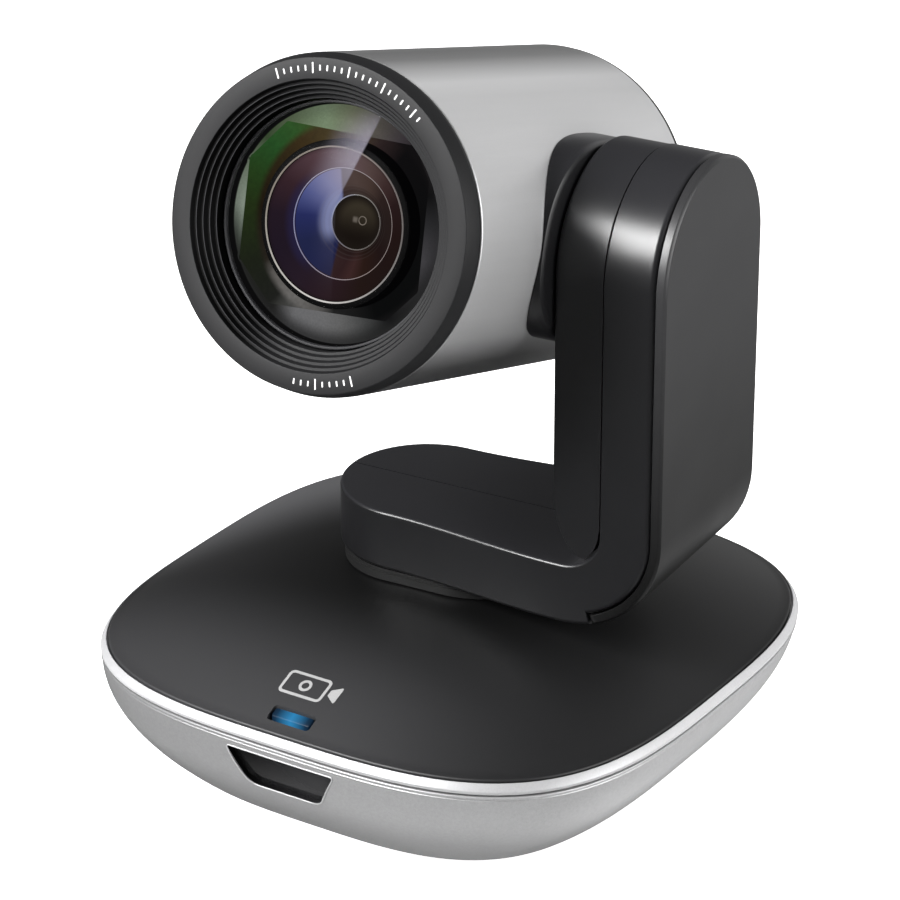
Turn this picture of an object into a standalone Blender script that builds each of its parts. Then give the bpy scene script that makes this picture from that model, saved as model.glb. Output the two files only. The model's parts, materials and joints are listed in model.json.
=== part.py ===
"""Desktop pan-tilt-zoom camera: a rounded base, a turning L-shaped arm and a tilting lens head.

Every length below is in millimetres; meshes are scaled to metres as they are made.
Frame: origin on the table under the pan axis, +Z up, the base's front faces -Y, the arm stands at +X.
"""
import math

import bmesh
import bpy
from mathutils import Vector

MM = 0.001
GAP = 0.3                      # clearance between neighbouring pieces

# Pose at rest
REST_PAN_DEG = 4.0             # the arm and head stand turned this far from the base's centre line
REST_TILT_DEG = 16.3           # the head looks up this far

# Base
BASE_POWER = 3.25              # superellipse exponent of the base's outline
RIM_HALF = 65.0                # half width of the base at its rim
COVER_HALF = 63.5
RIM_TOP = 28.2
HOUSING_TOP = 25.4
HOUSING_HALF = 64.7
FLOOR_Z = 1.0
FLOOR_TOP = 3.0
WALL = 2.2
BOTTOM_SHARE = 0.72            # bottom half width over rim half width
BOWL_POWER = 1.85
BOWL_FORWARD = 4.5             # the bowl's bottom is set this far towards the front
BOTTOM_EDGE = 1.5
COVER_RISE = 14.0
COVER_POWER = 2.2
COVER_WALL = 2.0
COVER_HOLE = 11.2
OPENING_HALF = 34.0
POST_X = 32.5                  # case screws, left and right
POST_REAR = 29.5
POST_FRONT = -35.5
PORT_FACE = 52.6

# Pan drive
PAN_MODULE = 1.0
PAN_TEETH = 48
PINION_TEETH = 12
PAN_CENTRES = PAN_MODULE * (PAN_TEETH + PINION_TEETH) / 2
SPINDLE_R = 7.0
PAN_GEAR_Z = 31.6

# Arm
ARM_INNER_X = 34.2
ARM_SEAM_X = 44.8
ARM_OUTER_X = 58.2
SIDE_COVER_X = 55.75
ARM_HALF = 21.7                # half depth of the upright, and the radius of its round top
ARM_WALL = 1.8
FOOT_LOW = 44.5
FOOT_HIGH = 57.7
FOOT_END_X = -6.0
FOOT_END_R = 18.1
FOOT_WIDE_X = 34.0
OUTER_CORNER_R = 22.0
INNER_CORNER_R = 8.8
POD_HALF = 21.3
POD_FLARE_Z = 74.0

# Tilt drive
TILT_Z = 118.6
TILT_MODULE = 0.8
TILT_TEETH = 36
IDLER_SMALL_TEETH = 12
MOTOR_MODULE = 0.6
IDLER_BIG_TEETH = 32
IDLER_Z = TILT_Z - TILT_MODULE * (TILT_TEETH + IDLER_SMALL_TEETH) / 2
MOTOR_Z = IDLER_Z - MOTOR_MODULE * (IDLER_BIG_TEETH + PINION_TEETH) / 2
SHAFT_R = 5.0
GEAR_X = 49.2
IDLER_BIG_X = 52.2
IDLER_BIG_W = 2.0
IDLER_PIN_R = 1.2

# Head, in its own frame: the tilt axis is the origin and -Y is the viewing direction
BARREL_R = 32.9
BARREL_WALL = 2.0
BARREL_FRONT = -51.2
BARREL_REAR = 41.0
BEZEL_FRONT = -55.8
CAP_REAR = 44.5
SADDLE_HALF = (26.0, 20.5)
SADDLE_POWER = 2.5
HUB_R = 8.0
CHASSIS_R = 20.0
CHASSIS_FRONT = -44.0
CHASSIS_REAR = 10.0
ROD_X = 13.5
SCREW_Z = 14.5
CARRIAGE_POINTS = 56


# ---------------------------------------------------------------- materials

def material(name, colour, roughness, metallic=0.0, transmission=0.0):
    """Make one plain Principled material."""
    made = bpy.data.materials.new(name)
    made.use_nodes = True
    shader = made.node_tree.nodes["Principled BSDF"]
    shader.inputs["Base Color"].default_value = (*colour, 1.0)
    shader.inputs["Roughness"].default_value = roughness
    shader.inputs["Metallic"].default_value = metallic
    shader.inputs["Transmission Weight"].default_value = transmission
    return made


# ---------------------------------------------------------------- outlines

def superellipse(half_x, half_y, power, count, centre=(0.0, 0.0)):
    """Points of |x/a|^p + |y/b|^p = 1, counter-clockwise."""
    points = []
    for step in range(count):
        angle = 2 * math.pi * step / count
        cosine, sine = math.cos(angle), math.sin(angle)
        x = half_x * math.copysign(abs(cosine) ** (2 / power), cosine)
        y = half_y * math.copysign(abs(sine) ** (2 / power), sine)
        points.append((centre[0] + x, centre[1] + y))
    return points


def arc(centre, radius, start_deg, end_deg, steps):
    """Points along an arc, both ends included."""
    points = []
    for step in range(steps + 1):
        angle = math.radians(start_deg + (end_deg - start_deg) * step / steps)
        points.append((centre[0] + radius * math.cos(angle), centre[1] + radius * math.sin(angle)))
    return points


def rounded_rectangle(low, high, radius, steps=4):
    """A rectangle from low to high with round corners, counter-clockwise."""
    (x0, y0), (x1, y1) = low, high
    corners = [((x1 - radius, y0 + radius), -90), ((x1 - radius, y1 - radius), 0),
               ((x0 + radius, y1 - radius), 90), ((x0 + radius, y0 + radius), 180)]
    points = []
    for centre, start in corners:
        points += arc(centre, radius, start, start + 90, steps)
    return points


def stadium(half_length, radius, steps=12):
    """A slot shape along X, counter-clockwise."""
    right = arc((half_length, 0.0), radius, -90, 90, steps)
    left = arc((-half_length, 0.0), radius, 90, 270, steps)
    return right + left


def gear_outline(teeth, module, phase_deg, thinning=0.12, addendum=0.85):
    """Involute gear outline with thinned teeth; one tooth is centred on phase_deg."""
    pitch_r = teeth * module / 2
    pressure = math.radians(20)
    base_r = pitch_r * math.cos(pressure)
    root_r = pitch_r - 1.25 * module
    tip_r = pitch_r + addendum * module

    def involute(radius):
        ratio = max(radius / base_r, 1.0)
        slope = math.sqrt(ratio * ratio - 1)
        return slope - math.atan(slope)

    half_at_pitch = math.pi / (2 * teeth) * (1 - 2 * thinning)
    half_base = half_at_pitch + involute(pitch_r)
    flank = [root_r, tip_r]
    points = []
    for tooth in range(teeth):
        middle = math.radians(phase_deg) + 2 * math.pi * tooth / teeth
        halves = [(radius, half_base - involute(radius)) for radius in flank]
        for radius, half in halves:
            points.append((radius * math.cos(middle - half), radius * math.sin(middle - half)))
        for radius, half in reversed(halves):
            points.append((radius * math.cos(middle + half), radius * math.sin(middle + half)))
    return points


# ---------------------------------------------------------------- solids

AXES = {
    "X": lambda a, b, h: (h, a, b),
    "Y": lambda a, b, h: (b, h, a),
    "Z": lambda a, b, h: (a, b, h),
}


def mesh_object(name, vertices, faces, finish, parent=None, sharp_deg=35):
    """Make an object from millimetre vertices, with outward normals and smooth shading."""
    mesh = bpy.data.meshes.new(name)
    mesh.from_pydata([Vector(vertex) * MM for vertex in vertices], [], faces)
    shape = bmesh.new()
    shape.from_mesh(mesh)
    bmesh.ops.recalc_face_normals(shape, faces=shape.faces)
    shape.to_mesh(mesh)
    shape.free()
    mesh.shade_smooth()
    mesh.set_sharp_from_angle(angle=math.radians(sharp_deg))
    made = bpy.data.objects.new(name, mesh)
    if finish is not None:
        mesh.materials.append(finish)
    bpy.context.scene.collection.objects.link(made)
    made.parent = parent
    return made


def move(made, x=0.0, y=0.0, z=0.0):
    """Place an object, in millimetres from its parent."""
    made.location = Vector((x, y, z)) * MM
    return made


def loft(name, rings, finish, parent=None, closed=False):
    """Skin rings of equal count; the ends are capped, or joined to each other when closed."""
    count = len(rings[0])
    vertices = [point for ring in rings for point in ring]
    faces = []
    spans = len(rings) if closed else len(rings) - 1
    for level in range(spans):
        low = level * count
        high = (level + 1) % len(rings) * count
        for step in range(count):
            after = (step + 1) % count
            faces.append((low + step, low + after, high + after, high + step))
    if not closed:
        faces.append(tuple(range(count)))
        faces.append(tuple(range((len(rings) - 1) * count, len(rings) * count)))
    return mesh_object(name, vertices, faces, finish, parent)


def prism(name, outline, low, high, finish, axis="Z", parent=None):
    """Extrude an outline along an axis. Outlines are (y, z) for X, (z, x) for Y and (x, y) for Z."""
    place = AXES[axis]
    rings = [[place(a, b, level) for a, b in outline] for level in (low, high)]
    return loft(name, rings, finish, parent)


def plate_with_hole(name, outline, hole, low, high, finish, axis="Z", parent=None):
    """Extrude the band between two outlines of equal count."""
    place = AXES[axis]
    rings = [[place(a, b, level) for a, b in ring]
             for ring, level in ((outline, low), (outline, high), (hole, high), (hole, low))]
    return loft(name, rings, finish, parent, closed=True)


def turned(name, profile, finish, axis="Z", parent=None, segments=24):
    """Turn (radius, height) points about an axis; radius 0 at both ends makes a solid piece."""
    place = AXES[axis]
    solid = profile[0][0] == 0
    body = profile[1:-1] if solid else profile
    vertices = []
    for radius, height in body:
        for step in range(segments):
            angle = 2 * math.pi * step / segments
            vertices.append(place(radius * math.cos(angle), radius * math.sin(angle), height))
    faces = []
    rings = len(body)
    for ring in range(rings - 1 if solid else rings):
        low = ring * segments
        high = (ring + 1) % rings * segments
        for step in range(segments):
            after = (step + 1) % segments
            faces.append((low + step, low + after, high + after, high + step))
    if solid:
        ends = (((rings - 1) * segments, profile[-1][1], body[-1][1]), (0, profile[0][1], body[0][1]))
        for first, height, edge_height in ends:
            if height == edge_height:
                faces.append(tuple(range(first, first + segments)))
                continue
            vertices.append(place(0.0, 0.0, height))
            tip = len(vertices) - 1
            for step in range(segments):
                faces.append((first + step, first + (step + 1) % segments, tip))
    return mesh_object(name, vertices, faces, finish, parent)


def tube(name, outer, inner, low, high, finish, axis="Z", parent=None, segments=24):
    """A plain ring or tube."""
    profile = [(outer, low), (outer, high), (inner, high), (inner, low)]
    return turned(name, profile, finish, axis, parent, segments)


def rod(name, radius, low, high, finish, axis="Z", parent=None, segments=24):
    """A plain solid cylinder."""
    profile = [(0, low), (radius, low), (radius, high), (0, high)]
    return turned(name, profile, finish, axis, parent, segments)


def box(name, low, high, finish, parent=None):
    """A plain block."""
    outline = [(low[0], low[1]), (high[0], low[1]), (high[0], high[1]), (low[0], high[1])]
    return prism(name, outline, low[2], high[2], finish, "Z", parent)


def guide(made):
    """Mark a cutter, so that it isn't part of the object."""
    made.hide_render = True
    made.display_type = "WIRE"
    return made


def combine(made, cutter, operation="DIFFERENCE"):
    """Add a Boolean to an object and hide its cutter."""
    modifier = made.modifiers.new(f"{operation.lower()}_{cutter.name}", "BOOLEAN")
    modifier.operation = operation
    modifier.solver = "EXACT"
    modifier.object = guide(cutter)
    return made


# ---------------------------------------------------------------- base

def bowl_depth(z):
    """How far down the bowl a height lies: 0 at its rim, 1 at its bottom."""
    return (HOUSING_TOP - z) / (HOUSING_TOP - FLOOR_Z)


def bowl_half(z):
    """Half width of the lower housing's outer wall at a height."""
    return HOUSING_HALF * (BOTTOM_SHARE + (1 - BOTTOM_SHARE) * (1 - bowl_depth(z) ** BOWL_POWER))


def bowl_ring(z, inset=0.0):
    """Outline of the bowl at a height; its front wall is steeper than its rear wall."""
    forward = BOWL_FORWARD * bowl_depth(z)
    return [(x, y - forward, z) for x, y, z in base_ring(bowl_half(z) - inset, z)]


def cover_height(share):
    """Height of the domed cover's top where the outline is scaled by share."""
    return RIM_TOP + COVER_RISE * (1 - share ** COVER_POWER)


def base_ring(half, z, power=BASE_POWER, count=44):
    return [(x, y, z) for x, y in superellipse(half, half, power, count)]


def lower_housing(finish):
    """Bowl with a squarish opening in its floor, port openings at the rear and a window in front."""
    levels = [HOUSING_TOP, 21.5, 16.5, 11.0, 6.0, 2.2]
    rings = [bowl_ring(z) for z in levels]
    rings.append(bowl_ring(FLOOR_Z, BOTTOM_EDGE))
    rings.append(base_ring(OPENING_HALF, FLOOR_Z))
    rings.append(base_ring(OPENING_HALF, FLOOR_TOP))
    rings.append(bowl_ring(FLOOR_TOP, 4.0))
    rings += [bowl_ring(z, WALL) for z in (6.0, 11.0, 17.5, HOUSING_TOP)]
    housing = loft("lower_housing", rings, finish, closed=True)
    combine(housing, ir_window_block("ir_window_cut", GAP, 6.0, None))
    for name, low_x, high_x, low_z, high_z in (("usb", -16.4, -3.6, 8.6, 20.2),
                                               ("power", 5.6, 15.4, 8.6, 20.2),
                                               ("lock", 26.0, 33.0, 11.5, 14.7)):
        outline = rounded_rectangle((low_z, low_x), (high_z, high_x), 1.0, 2)
        combine(housing, prism(f"{name}_opening", outline, 45.0, 70.0, None, "Y"))
    for index, (x, y) in enumerate(corner_places()):
        head = [(0, FLOOR_Z - 1), (3.1, FLOOR_Z - 1), (3.1, 2.2), (1.7, 2.2), (1.7, 4.0), (0, 4.0)]
        combine(housing, move(turned(f"screw_seat_{index + 1}", head, None, segments=12), x, y))
    return housing


def corner_places():
    return [(x, y) for x in (-POST_X, POST_X) for y in (POST_FRONT, POST_REAR)]


def rim_trim(finish):
    """Bright bevelled band between the bowl and the cover."""
    section = [(63.85, RIM_TOP), (RIM_HALF, 26.7), (RIM_HALF, 25.7), (61.8, 25.7), (61.8, 26.9),
               (63.85, 26.9)]
    return loft("rim_trim", [base_ring(half, z) for half, z in section], finish, closed=True)


def cover_power(share):
    """The cover's sections turn from the squarish rim to a circle at its middle."""
    blend = min(max((share - 0.25) / 0.75, 0.0), 1.0)
    return 2.0 + (BASE_POWER - 2.0) * blend


def top_cover(finish):
    """Domed cover with a hole for the spindle, an indicator slot and four screw posts."""
    hole_share = COVER_HOLE / COVER_HALF
    shares = [1.0, 0.93, 0.84, 0.72, 0.56, 0.38, hole_share]
    rings = [base_ring(COVER_HALF * s, cover_height(s), cover_power(s)) for s in shares]
    inner = [hole_share, 0.44, 0.68, 0.84, 0.93]
    rings += [base_ring(COVER_HALF * s, cover_height(s) - COVER_WALL, cover_power(s)) for s in inner]
    rings.append(base_ring(COVER_HALF - COVER_WALL, RIM_TOP - 1.0))
    rings.append(base_ring(COVER_HALF, RIM_TOP - 1.0))
    cover = loft("top_cover", rings, finish, closed=True)
    for index, (x, y) in enumerate(corner_places()):
        post = move(rod(f"post_{index + 1}", 3.0, 4.2, 35.2, None, segments=12), x, y)
        combine(cover, post, "UNION")
        hole = move(rod(f"post_hole_{index + 1}", 1.3, 3.0, 14.0, None, segments=12), x, y)
        combine(cover, hole)
    slot = rounded_rectangle((-5.1, -60.5), (5.1, -57.1), 0.9, 3)
    return combine(cover, prism("indicator_slot", slot, 24.0, 34.0, None))


def ir_window_block(name, margin, depth, finish):
    """A trapezoid with round lower corners, laid against the slope of the front wall."""
    high_z, low_z = 22.8, 14.6
    high_y, low_y = (0.1 - bowl_half(z) - BOWL_FORWARD * bowl_depth(z) for z in (high_z, low_z))
    slope = Vector((0.0, high_y - low_y, high_z - low_z))
    length = slope.length
    along = slope / length
    inward = Vector((0.0, along.z, -along.y))
    start = Vector((0.0, low_y, low_z))
    half_top, half_low, corner = 12.6 + margin, 7.6 + margin, 1.6
    outline = [(-half_top, length + margin), (-half_low - 0.9, corner), (-half_low + 0.9, -margin),
               (half_low - 0.9, -margin), (half_low + 0.9, corner), (half_top, length + margin)]
    outer = -4.0 if finish is None else 0.0
    rings = []
    for level in (outer, depth):
        rings.append([start + Vector((x, 0.0, 0.0)) + along * t + inward * level for x, t in outline])
    return loft(name, rings, finish)


def base_pieces(m):
    """Everything that stays still with the base."""
    lower_housing(m["silver"])
    rim_trim(m["trim"])
    top_cover(m["charcoal"])
    plate_rings = [base_ring(OPENING_HALF - 0.4, FLOOR_Z), base_ring(OPENING_HALF - 0.4, 3.3),
                   base_ring(35.3, 3.3), base_ring(35.3, 4.8)]
    plate = loft("bottom_plate", plate_rings, m["steel"])
    combine(plate, rod("insert_hole", 5.3, 0.0, 6.0, None))
    turned("tripod_insert", [(5.0, FLOOR_Z), (5.0, 4.9), (6.5, 5.1), (6.5, 6.4), (3.1, 6.4),
                             (3.1, FLOOR_Z)], m["brass"])
    pad = []
    for half, z in ((42.5, 0.0), (42.5, 0.7), (37.5, 0.7), (37.5, 0.0)):
        pad.append([(x, y - 3.0, z) for x, y, z in base_ring(half, z)])
    loft("rubber_ring", pad, m["rubber"], closed=True)
    board = rounded_rectangle((-26.0, -22.0), (26.0, 43.5), 2.0)
    prism("main_board", board, 7.0, 8.6, m["board"])
    usb_port(m["steel"])
    power_jack(m["black"])
    box("ir_receiver", (-3.5, -51.5, 14.5), (3.5, -48.0, 21.5), m["black"])
    ir_window_block("ir_window", 0.0, 1.6, m["gloss"])
    prism("indicator_window", rounded_rectangle((-4.6, -60.1), (4.6, -57.5), 0.6, 3), 26.6, 29.6,
          m["blue"])
    box("indicator_board", (-7.0, -59.5, 23.6), (7.0, -53.0, 24.8), m["board"])
    pan_chassis(m["steel"])
    turned("pan_bearing", [(13.5, 36.0), (13.5, 38.8), (10.8, 38.8), (10.8, 41.4),
                           (SPINDLE_R + 0.1, 41.4), (SPINDLE_R + 0.1, 36.0)], m["bronze"])
    motor = [(0, 13.0), (12.0, 13.0), (12.0, 28.2), (4.0, 28.2), (4.0, 29.0), (1.5, 29.0), (1.5, 34.2),
             (0, 34.2)]
    move(turned("pan_motor", motor, m["steel"]), 0.0, PAN_CENTRES)
    screw = [(0, 1.3), (1.0, 1.3), (1.0, 1.15), (2.7, 1.15), (2.7, 1.9), (1.15, 1.9), (1.15, 11.5),
             (0, 11.5)]
    for index, (x, y) in enumerate(corner_places()):
        move(turned(f"base_screw_{index + 1}", screw, m["steel"], segments=12), x, y)


def usb_port(finish):
    """Socket shell on the board, open towards the rear."""
    shell = rounded_rectangle((8.9, -16.0), (19.9, -4.0), 0.8, 2)
    port = prism("usb_port", shell, 42.0, PORT_FACE, finish, "Y")
    mouth = rounded_rectangle((9.9, -15.0), (18.9, -5.0), 0.6, 2)
    return combine(port, prism("usb_mouth", mouth, 44.0, 60.0, None, "Y"))


def power_jack(finish):
    """Barrel socket with a round mouth."""
    shell = rounded_rectangle((8.9, 6.0), (19.9, 15.0), 0.8, 2)
    jack = prism("power_jack", shell, 42.5, PORT_FACE, finish, "Y")
    return combine(jack, move(rod("power_mouth", 3.2, 44.5, 60.0, None, "Y"), 10.5, 0.0, 14.6))


def pan_chassis(finish):
    """Plate that carries the motor and guides the spindle."""
    outline = rounded_rectangle((-24.0, -24.0), (24.0, 43.0), 6.0)
    plate = prism("pan_chassis", outline, 28.6, 30.2, finish)
    combine(plate, rod("chassis_spindle_hole", SPINDLE_R + 0.5, 26.0, 33.0, None))
    return combine(plate, move(rod("chassis_motor_hole", 4.4, 26.0, 33.0, None), 0.0, PAN_CENTRES))


# ---------------------------------------------------------------- pan drive and arm

def gear(name, teeth, module, low, high, bore, finish, axis, phase_deg, parent=None, **shape):
    """A spur gear with a round bore."""
    outline = gear_outline(teeth, module, phase_deg, **shape)
    made = prism(name, outline, low, high, finish, axis, parent)
    cutter = rod(f"{name}_bore", bore, low - 1, high + 1, None, axis, parent)
    return combine(made, cutter)


def arm_profile(inset):
    """Side view of the L as (z, x): foot, round outer corner, upright, inner corner."""
    corner = (ARM_OUTER_X - OUTER_CORNER_R, FOOT_LOW + OUTER_CORNER_R)
    inner = (ARM_SEAM_X + 0.15 - INNER_CORNER_R, FOOT_HIGH + INNER_CORNER_R)
    top = TILT_Z + ARM_HALF + 5
    points = [(FOOT_END_X - FOOT_END_R - 5, FOOT_LOW + inset)]
    points += arc(corner, OUTER_CORNER_R - inset, -90, 0, 10)
    points.append((ARM_OUTER_X - inset, top))
    if inset:
        lip = inner[1] + 1.0
        points += [(ARM_SEAM_X - 5, top), (ARM_SEAM_X - 5, lip), (inner[0] + INNER_CORNER_R + inset, lip)]
    else:
        points.append((ARM_SEAM_X + 0.15, top))
    points += arc(inner, INNER_CORNER_R + inset, 0, -90, 8)
    points.append((FOOT_END_X - FOOT_END_R - 5, FOOT_HIGH - inset))
    return [(z, x) for x, z in points]


def upright_outline(half, low):
    """Front view of the upright as (y, z): straight sides and a round top."""
    return [(-half, low), (half, low)] + arc((0.0, TILT_Z), half, 0, 180, 28)


def foot_plan(inset):
    """Top view of the arm: the foot narrows to its round end."""
    half, end = ARM_HALF - inset, FOOT_END_R - inset
    points = [(ARM_OUTER_X + 5, -half), (ARM_OUTER_X + 5, half), (FOOT_WIDE_X, half)]
    points += arc((FOOT_END_X, 0.0), end, 90, 270, 20)
    points.append((FOOT_WIDE_X, -half))
    return points


def arm_volume(name, inset, finish, parent):
    """The L as one solid: the side view, front view and plan cut each other."""
    body = prism(name, arm_profile(inset), -30.0, 30.0, finish, "Y", parent)
    front = prism(f"{name}_front", upright_outline(ARM_HALF - inset, 30.0), -40.0, 70.0, None, "X", parent)
    plan = prism(f"{name}_plan", foot_plan(inset), 30.0, 160.0, None, "Z", parent)
    combine(body, front, "INTERSECT")
    return combine(body, plan, "INTERSECT")


def arm_shell(finish, parent):
    """Hollow L, open towards the pod and the side cover, with a step for the foot's lid."""
    shell = arm_volume("arm_shell", 0.0, finish, parent)
    combine(shell, arm_volume("arm_cavity", ARM_WALL, None, parent))
    combine(shell, box("side_cut", (SIDE_COVER_X - GAP / 2, -40, 30), (80, 40, 160), None, parent))
    lid_cut = box("lid_cut", (-40, -0.15, FOOT_HIGH - ARM_WALL), (33.8, 40, 70), None, parent)
    combine(shell, lid_cut)
    combine(shell, rod("floor_hole", SPINDLE_R + 0.6, 40.0, 48.0, None, "Z", parent))
    return shell


def pod_outline(inset):
    """Side view of the inner cover as (z, x): it flares away from the head above the foot."""
    seam = ARM_SEAM_X - 0.15 if not inset else ARM_SEAM_X + 5
    corner = (ARM_SEAM_X + 0.15 - INNER_CORNER_R, FOOT_HIGH + INNER_CORNER_R)
    follow = arc(corner, INNER_CORNER_R - 0.45 - inset, 0, -48, 5)
    points = [(seam, corner[1] + 3 * inset)] if inset else []
    points += follow[1:] if inset else follow
    low_x, low_z = points[-1]
    face = ARM_INNER_X + inset
    for step in range(1, 8):
        angle = math.pi / 2 * step / 7
        points.append((low_x - (low_x - face) * math.sin(angle),
                       low_z + (POD_FLARE_Z - low_z) * (1 - math.cos(angle))))
    top = TILT_Z + ARM_HALF + 5
    points += [(face, top), (seam, top)]
    return [(z, x) for x, z in points]


def arm_inner_cover(finish, parent):
    """Hollow pod that carries the inner tilt bearing."""
    pod = prism("arm_inner_cover", pod_outline(0.0), -30.0, 30.0, finish, "Y", parent)
    front = prism("pod_front", upright_outline(POD_HALF, 30.0), 20.0, 60.0, None, "X", parent)
    combine(pod, front, "INTERSECT")
    cavity = prism("pod_cavity", pod_outline(1.6), -30.0, 30.0, None, "Y", parent)
    cavity_front = prism("pod_cavity_front", upright_outline(POD_HALF - 1.6, 30.0), 20.0, 60.0, None,
                         "X", parent)
    combine(cavity, cavity_front, "INTERSECT")
    combine(pod, cavity)
    return combine(pod, move(rod("pod_hole", 9.5, 30.0, 40.0, None, "X", parent), 0, 0, TILT_Z))


def arm_frame(finish, parent):
    """Bent metal bracket that links the spindle to the tilt axis."""
    side = [(48.3, -13.0), (48.3, 42.0), (53.5, 48.6), (131.0, 48.6), (131.0, 47.1), (54.2, 47.1),
            (49.8, 41.3), (49.8, -13.0)]
    frame = prism("arm_frame", side, -13.0, 13.0, finish, "Y", parent)
    holes = (("shaft", SHAFT_R + 0.4, TILT_Z), ("idler", 1.5, IDLER_Z), ("motor", 3.4, MOTOR_Z))
    for name, radius, z in holes:
        cutter = rod(f"frame_{name}_hole", radius, 44.0, 52.0, None, "X", parent)
        combine(frame, move(cutter, 0, 0, z))
    return combine(frame, rod("frame_cable_hole", 4.5, 44.0, 52.0, None, "Z", parent))


def arm_pieces(m, pan):
    """Everything that turns with the arm."""
    arm_shell(m["satin"], pan)
    lid = arm_volume("foot_lid", 0.0, m["satin"], pan)
    combine(lid, box("lid_block", (-40, 0.15, FOOT_HIGH - ARM_WALL + GAP), (33.5, 40, 70), None, pan),
            "INTERSECT")
    side = arm_volume("arm_side_cover", 0.0, m["satin"], pan)
    combine(side, box("side_block", (SIDE_COVER_X + GAP / 2, -40, 30), (80, 40, 160), None, pan),
            "INTERSECT")
    arm_inner_cover(m["satin"], pan)
    arm_frame(m["steel"], pan)
    plinth = stadium(-FOOT_END_X, FOOT_END_R - 1.0)
    hole = stadium(0.0, 11.0)
    plate_with_hole("foot_plinth", plinth, hole, 42.3, FOOT_LOW - GAP, m["black"], "Z", pan)
    turned("pan_spindle", [(SPINDLE_R, 25.0), (SPINDLE_R, 46.7), (12.5, 46.7), (12.5, 48.0),
                           (4.5, 48.0), (4.5, 25.0)], m["steel"], "Z", pan)
    gear("pan_gear", PAN_TEETH, PAN_MODULE, PAN_GEAR_Z, PAN_GEAR_Z + 2.8, SPINDLE_R + 0.1, m["nylon"],
         "Z", 90.0 - REST_PAN_DEG, pan)
    motor = [(0, 37.5), (11.0, 37.5), (11.0, 46.8), (3.0, 46.8), (3.0, 48.4), (1.25, 48.4),
             (1.25, 54.6), (0, 54.6)]
    move(turned("tilt_motor", motor, m["steel"], "X", pan), 0, 0, MOTOR_Z)
    move(tube("tilt_bearing", 9.2, SHAFT_R + 0.1, 34.6, 38.4, m["bronze"], "X", pan), 0, 0, TILT_Z)
    move(rod("idler_pin", IDLER_PIN_R, 46.4, 55.0, m["steel"], "X", pan, 16), 0, 0, IDLER_Z)


def drive_gears(m, pan):
    """The small gears, each on its own axis."""
    pinion = gear("pan_pinion", PINION_TEETH, PAN_MODULE, PAN_GEAR_Z - 0.2, PAN_GEAR_Z + 3.0, 1.6,
                  m["brass"], "Z", 270.0 + 180.0 / PINION_TEETH)
    place_with_cutters(pinion, 0.0, PAN_CENTRES, 0.0)
    idler = prism("idler_gear", gear_outline(IDLER_BIG_TEETH, MOTOR_MODULE, 180.0 + 180.0 / IDLER_BIG_TEETH),
                  IDLER_BIG_X, IDLER_BIG_X + IDLER_BIG_W, m["nylon"], "X", pan)
    small = prism("idler_small_teeth", gear_outline(IDLER_SMALL_TEETH, TILT_MODULE, 180.0 / IDLER_SMALL_TEETH),
                  GEAR_X, IDLER_BIG_X + GAP * 2, None, "X", pan)
    combine(idler, small, "UNION")
    bore = rod("idler_gear_bore", IDLER_PIN_R + 0.1, GEAR_X - 1, IDLER_BIG_X + IDLER_BIG_W + 1, None, "X", pan)
    combine(idler, bore)
    place_with_cutters(idler, 0.0, 0.0, IDLER_Z)
    motor_pinion = gear("tilt_pinion", PINION_TEETH, MOTOR_MODULE, 52.0, 54.4, 1.35, m["brass"], "X",
                        0.0, pan)
    place_with_cutters(motor_pinion, 0.0, 0.0, MOTOR_Z)


def place_with_cutters(made, x, y, z):
    """Move an object together with the cutters of its Booleans."""
    for modifier in made.modifiers:
        move(modifier.object, x, y, z)
    return move(made, x, y, z)


# ---------------------------------------------------------------- head

def head_shells(m, head):
    """Barrel, rear cap, bezel and the parts around the front glass."""
    barrel = tube("head_barrel", BARREL_R, BARREL_R - BARREL_WALL, BARREL_FRONT, BARREL_REAR,
                  m["barrel"], "Y", head, 64)
    combine(barrel, rod("barrel_side_hole", HUB_R + 0.5, 20.0, 40.0, None, "X", head))
    cap = [(0, 39.5), (28.0, 39.5), (28.0, 36.0), (30.4, 36.0), (30.4, 41.3), (BARREL_R - 0.2, 41.3),
           (BARREL_R - 0.2, 42.4), (31.0, CAP_REAR), (0, CAP_REAR)]
    turned("rear_cap", cap, m["black"], "Y", head, 40)
    lip = BARREL_R - BARREL_WALL - 0.4
    bezel = [(BARREL_R, -51.5), (BARREL_R, -52.2), (32.0, BEZEL_FRONT), (27.6, BEZEL_FRONT),
             (27.4, -54.6), (26.0, -54.6), (25.8, -53.2), (24.4, -53.2), (24.4, -47.0), (lip, -47.0),
             (lip, -51.5)]
    turned("bezel", bezel, m["charcoal"], "Y", head, 40)
    tube("window_ring", 24.0, 22.9, -50.9, -49.0, m["trim"], "Y", head, 40)
    rod("front_glass", 22.6, -50.6, -49.6, m["glass"], "Y", head, 40)
    opening = [(12.0, 19.3), (-12.0, 19.3), (-17.0, 14.3), (-17.0, -14.3), (-12.0, -19.3), (12.0, -19.3),
               (17.0, -14.3), (17.0, 14.3)]
    baffle = rod("lens_baffle", 24.0, -48.6, -47.4, m["black"], "Y", head, 48)
    combine(baffle, prism("baffle_opening", opening, -52.0, -44.0, None, "Y", head))


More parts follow.
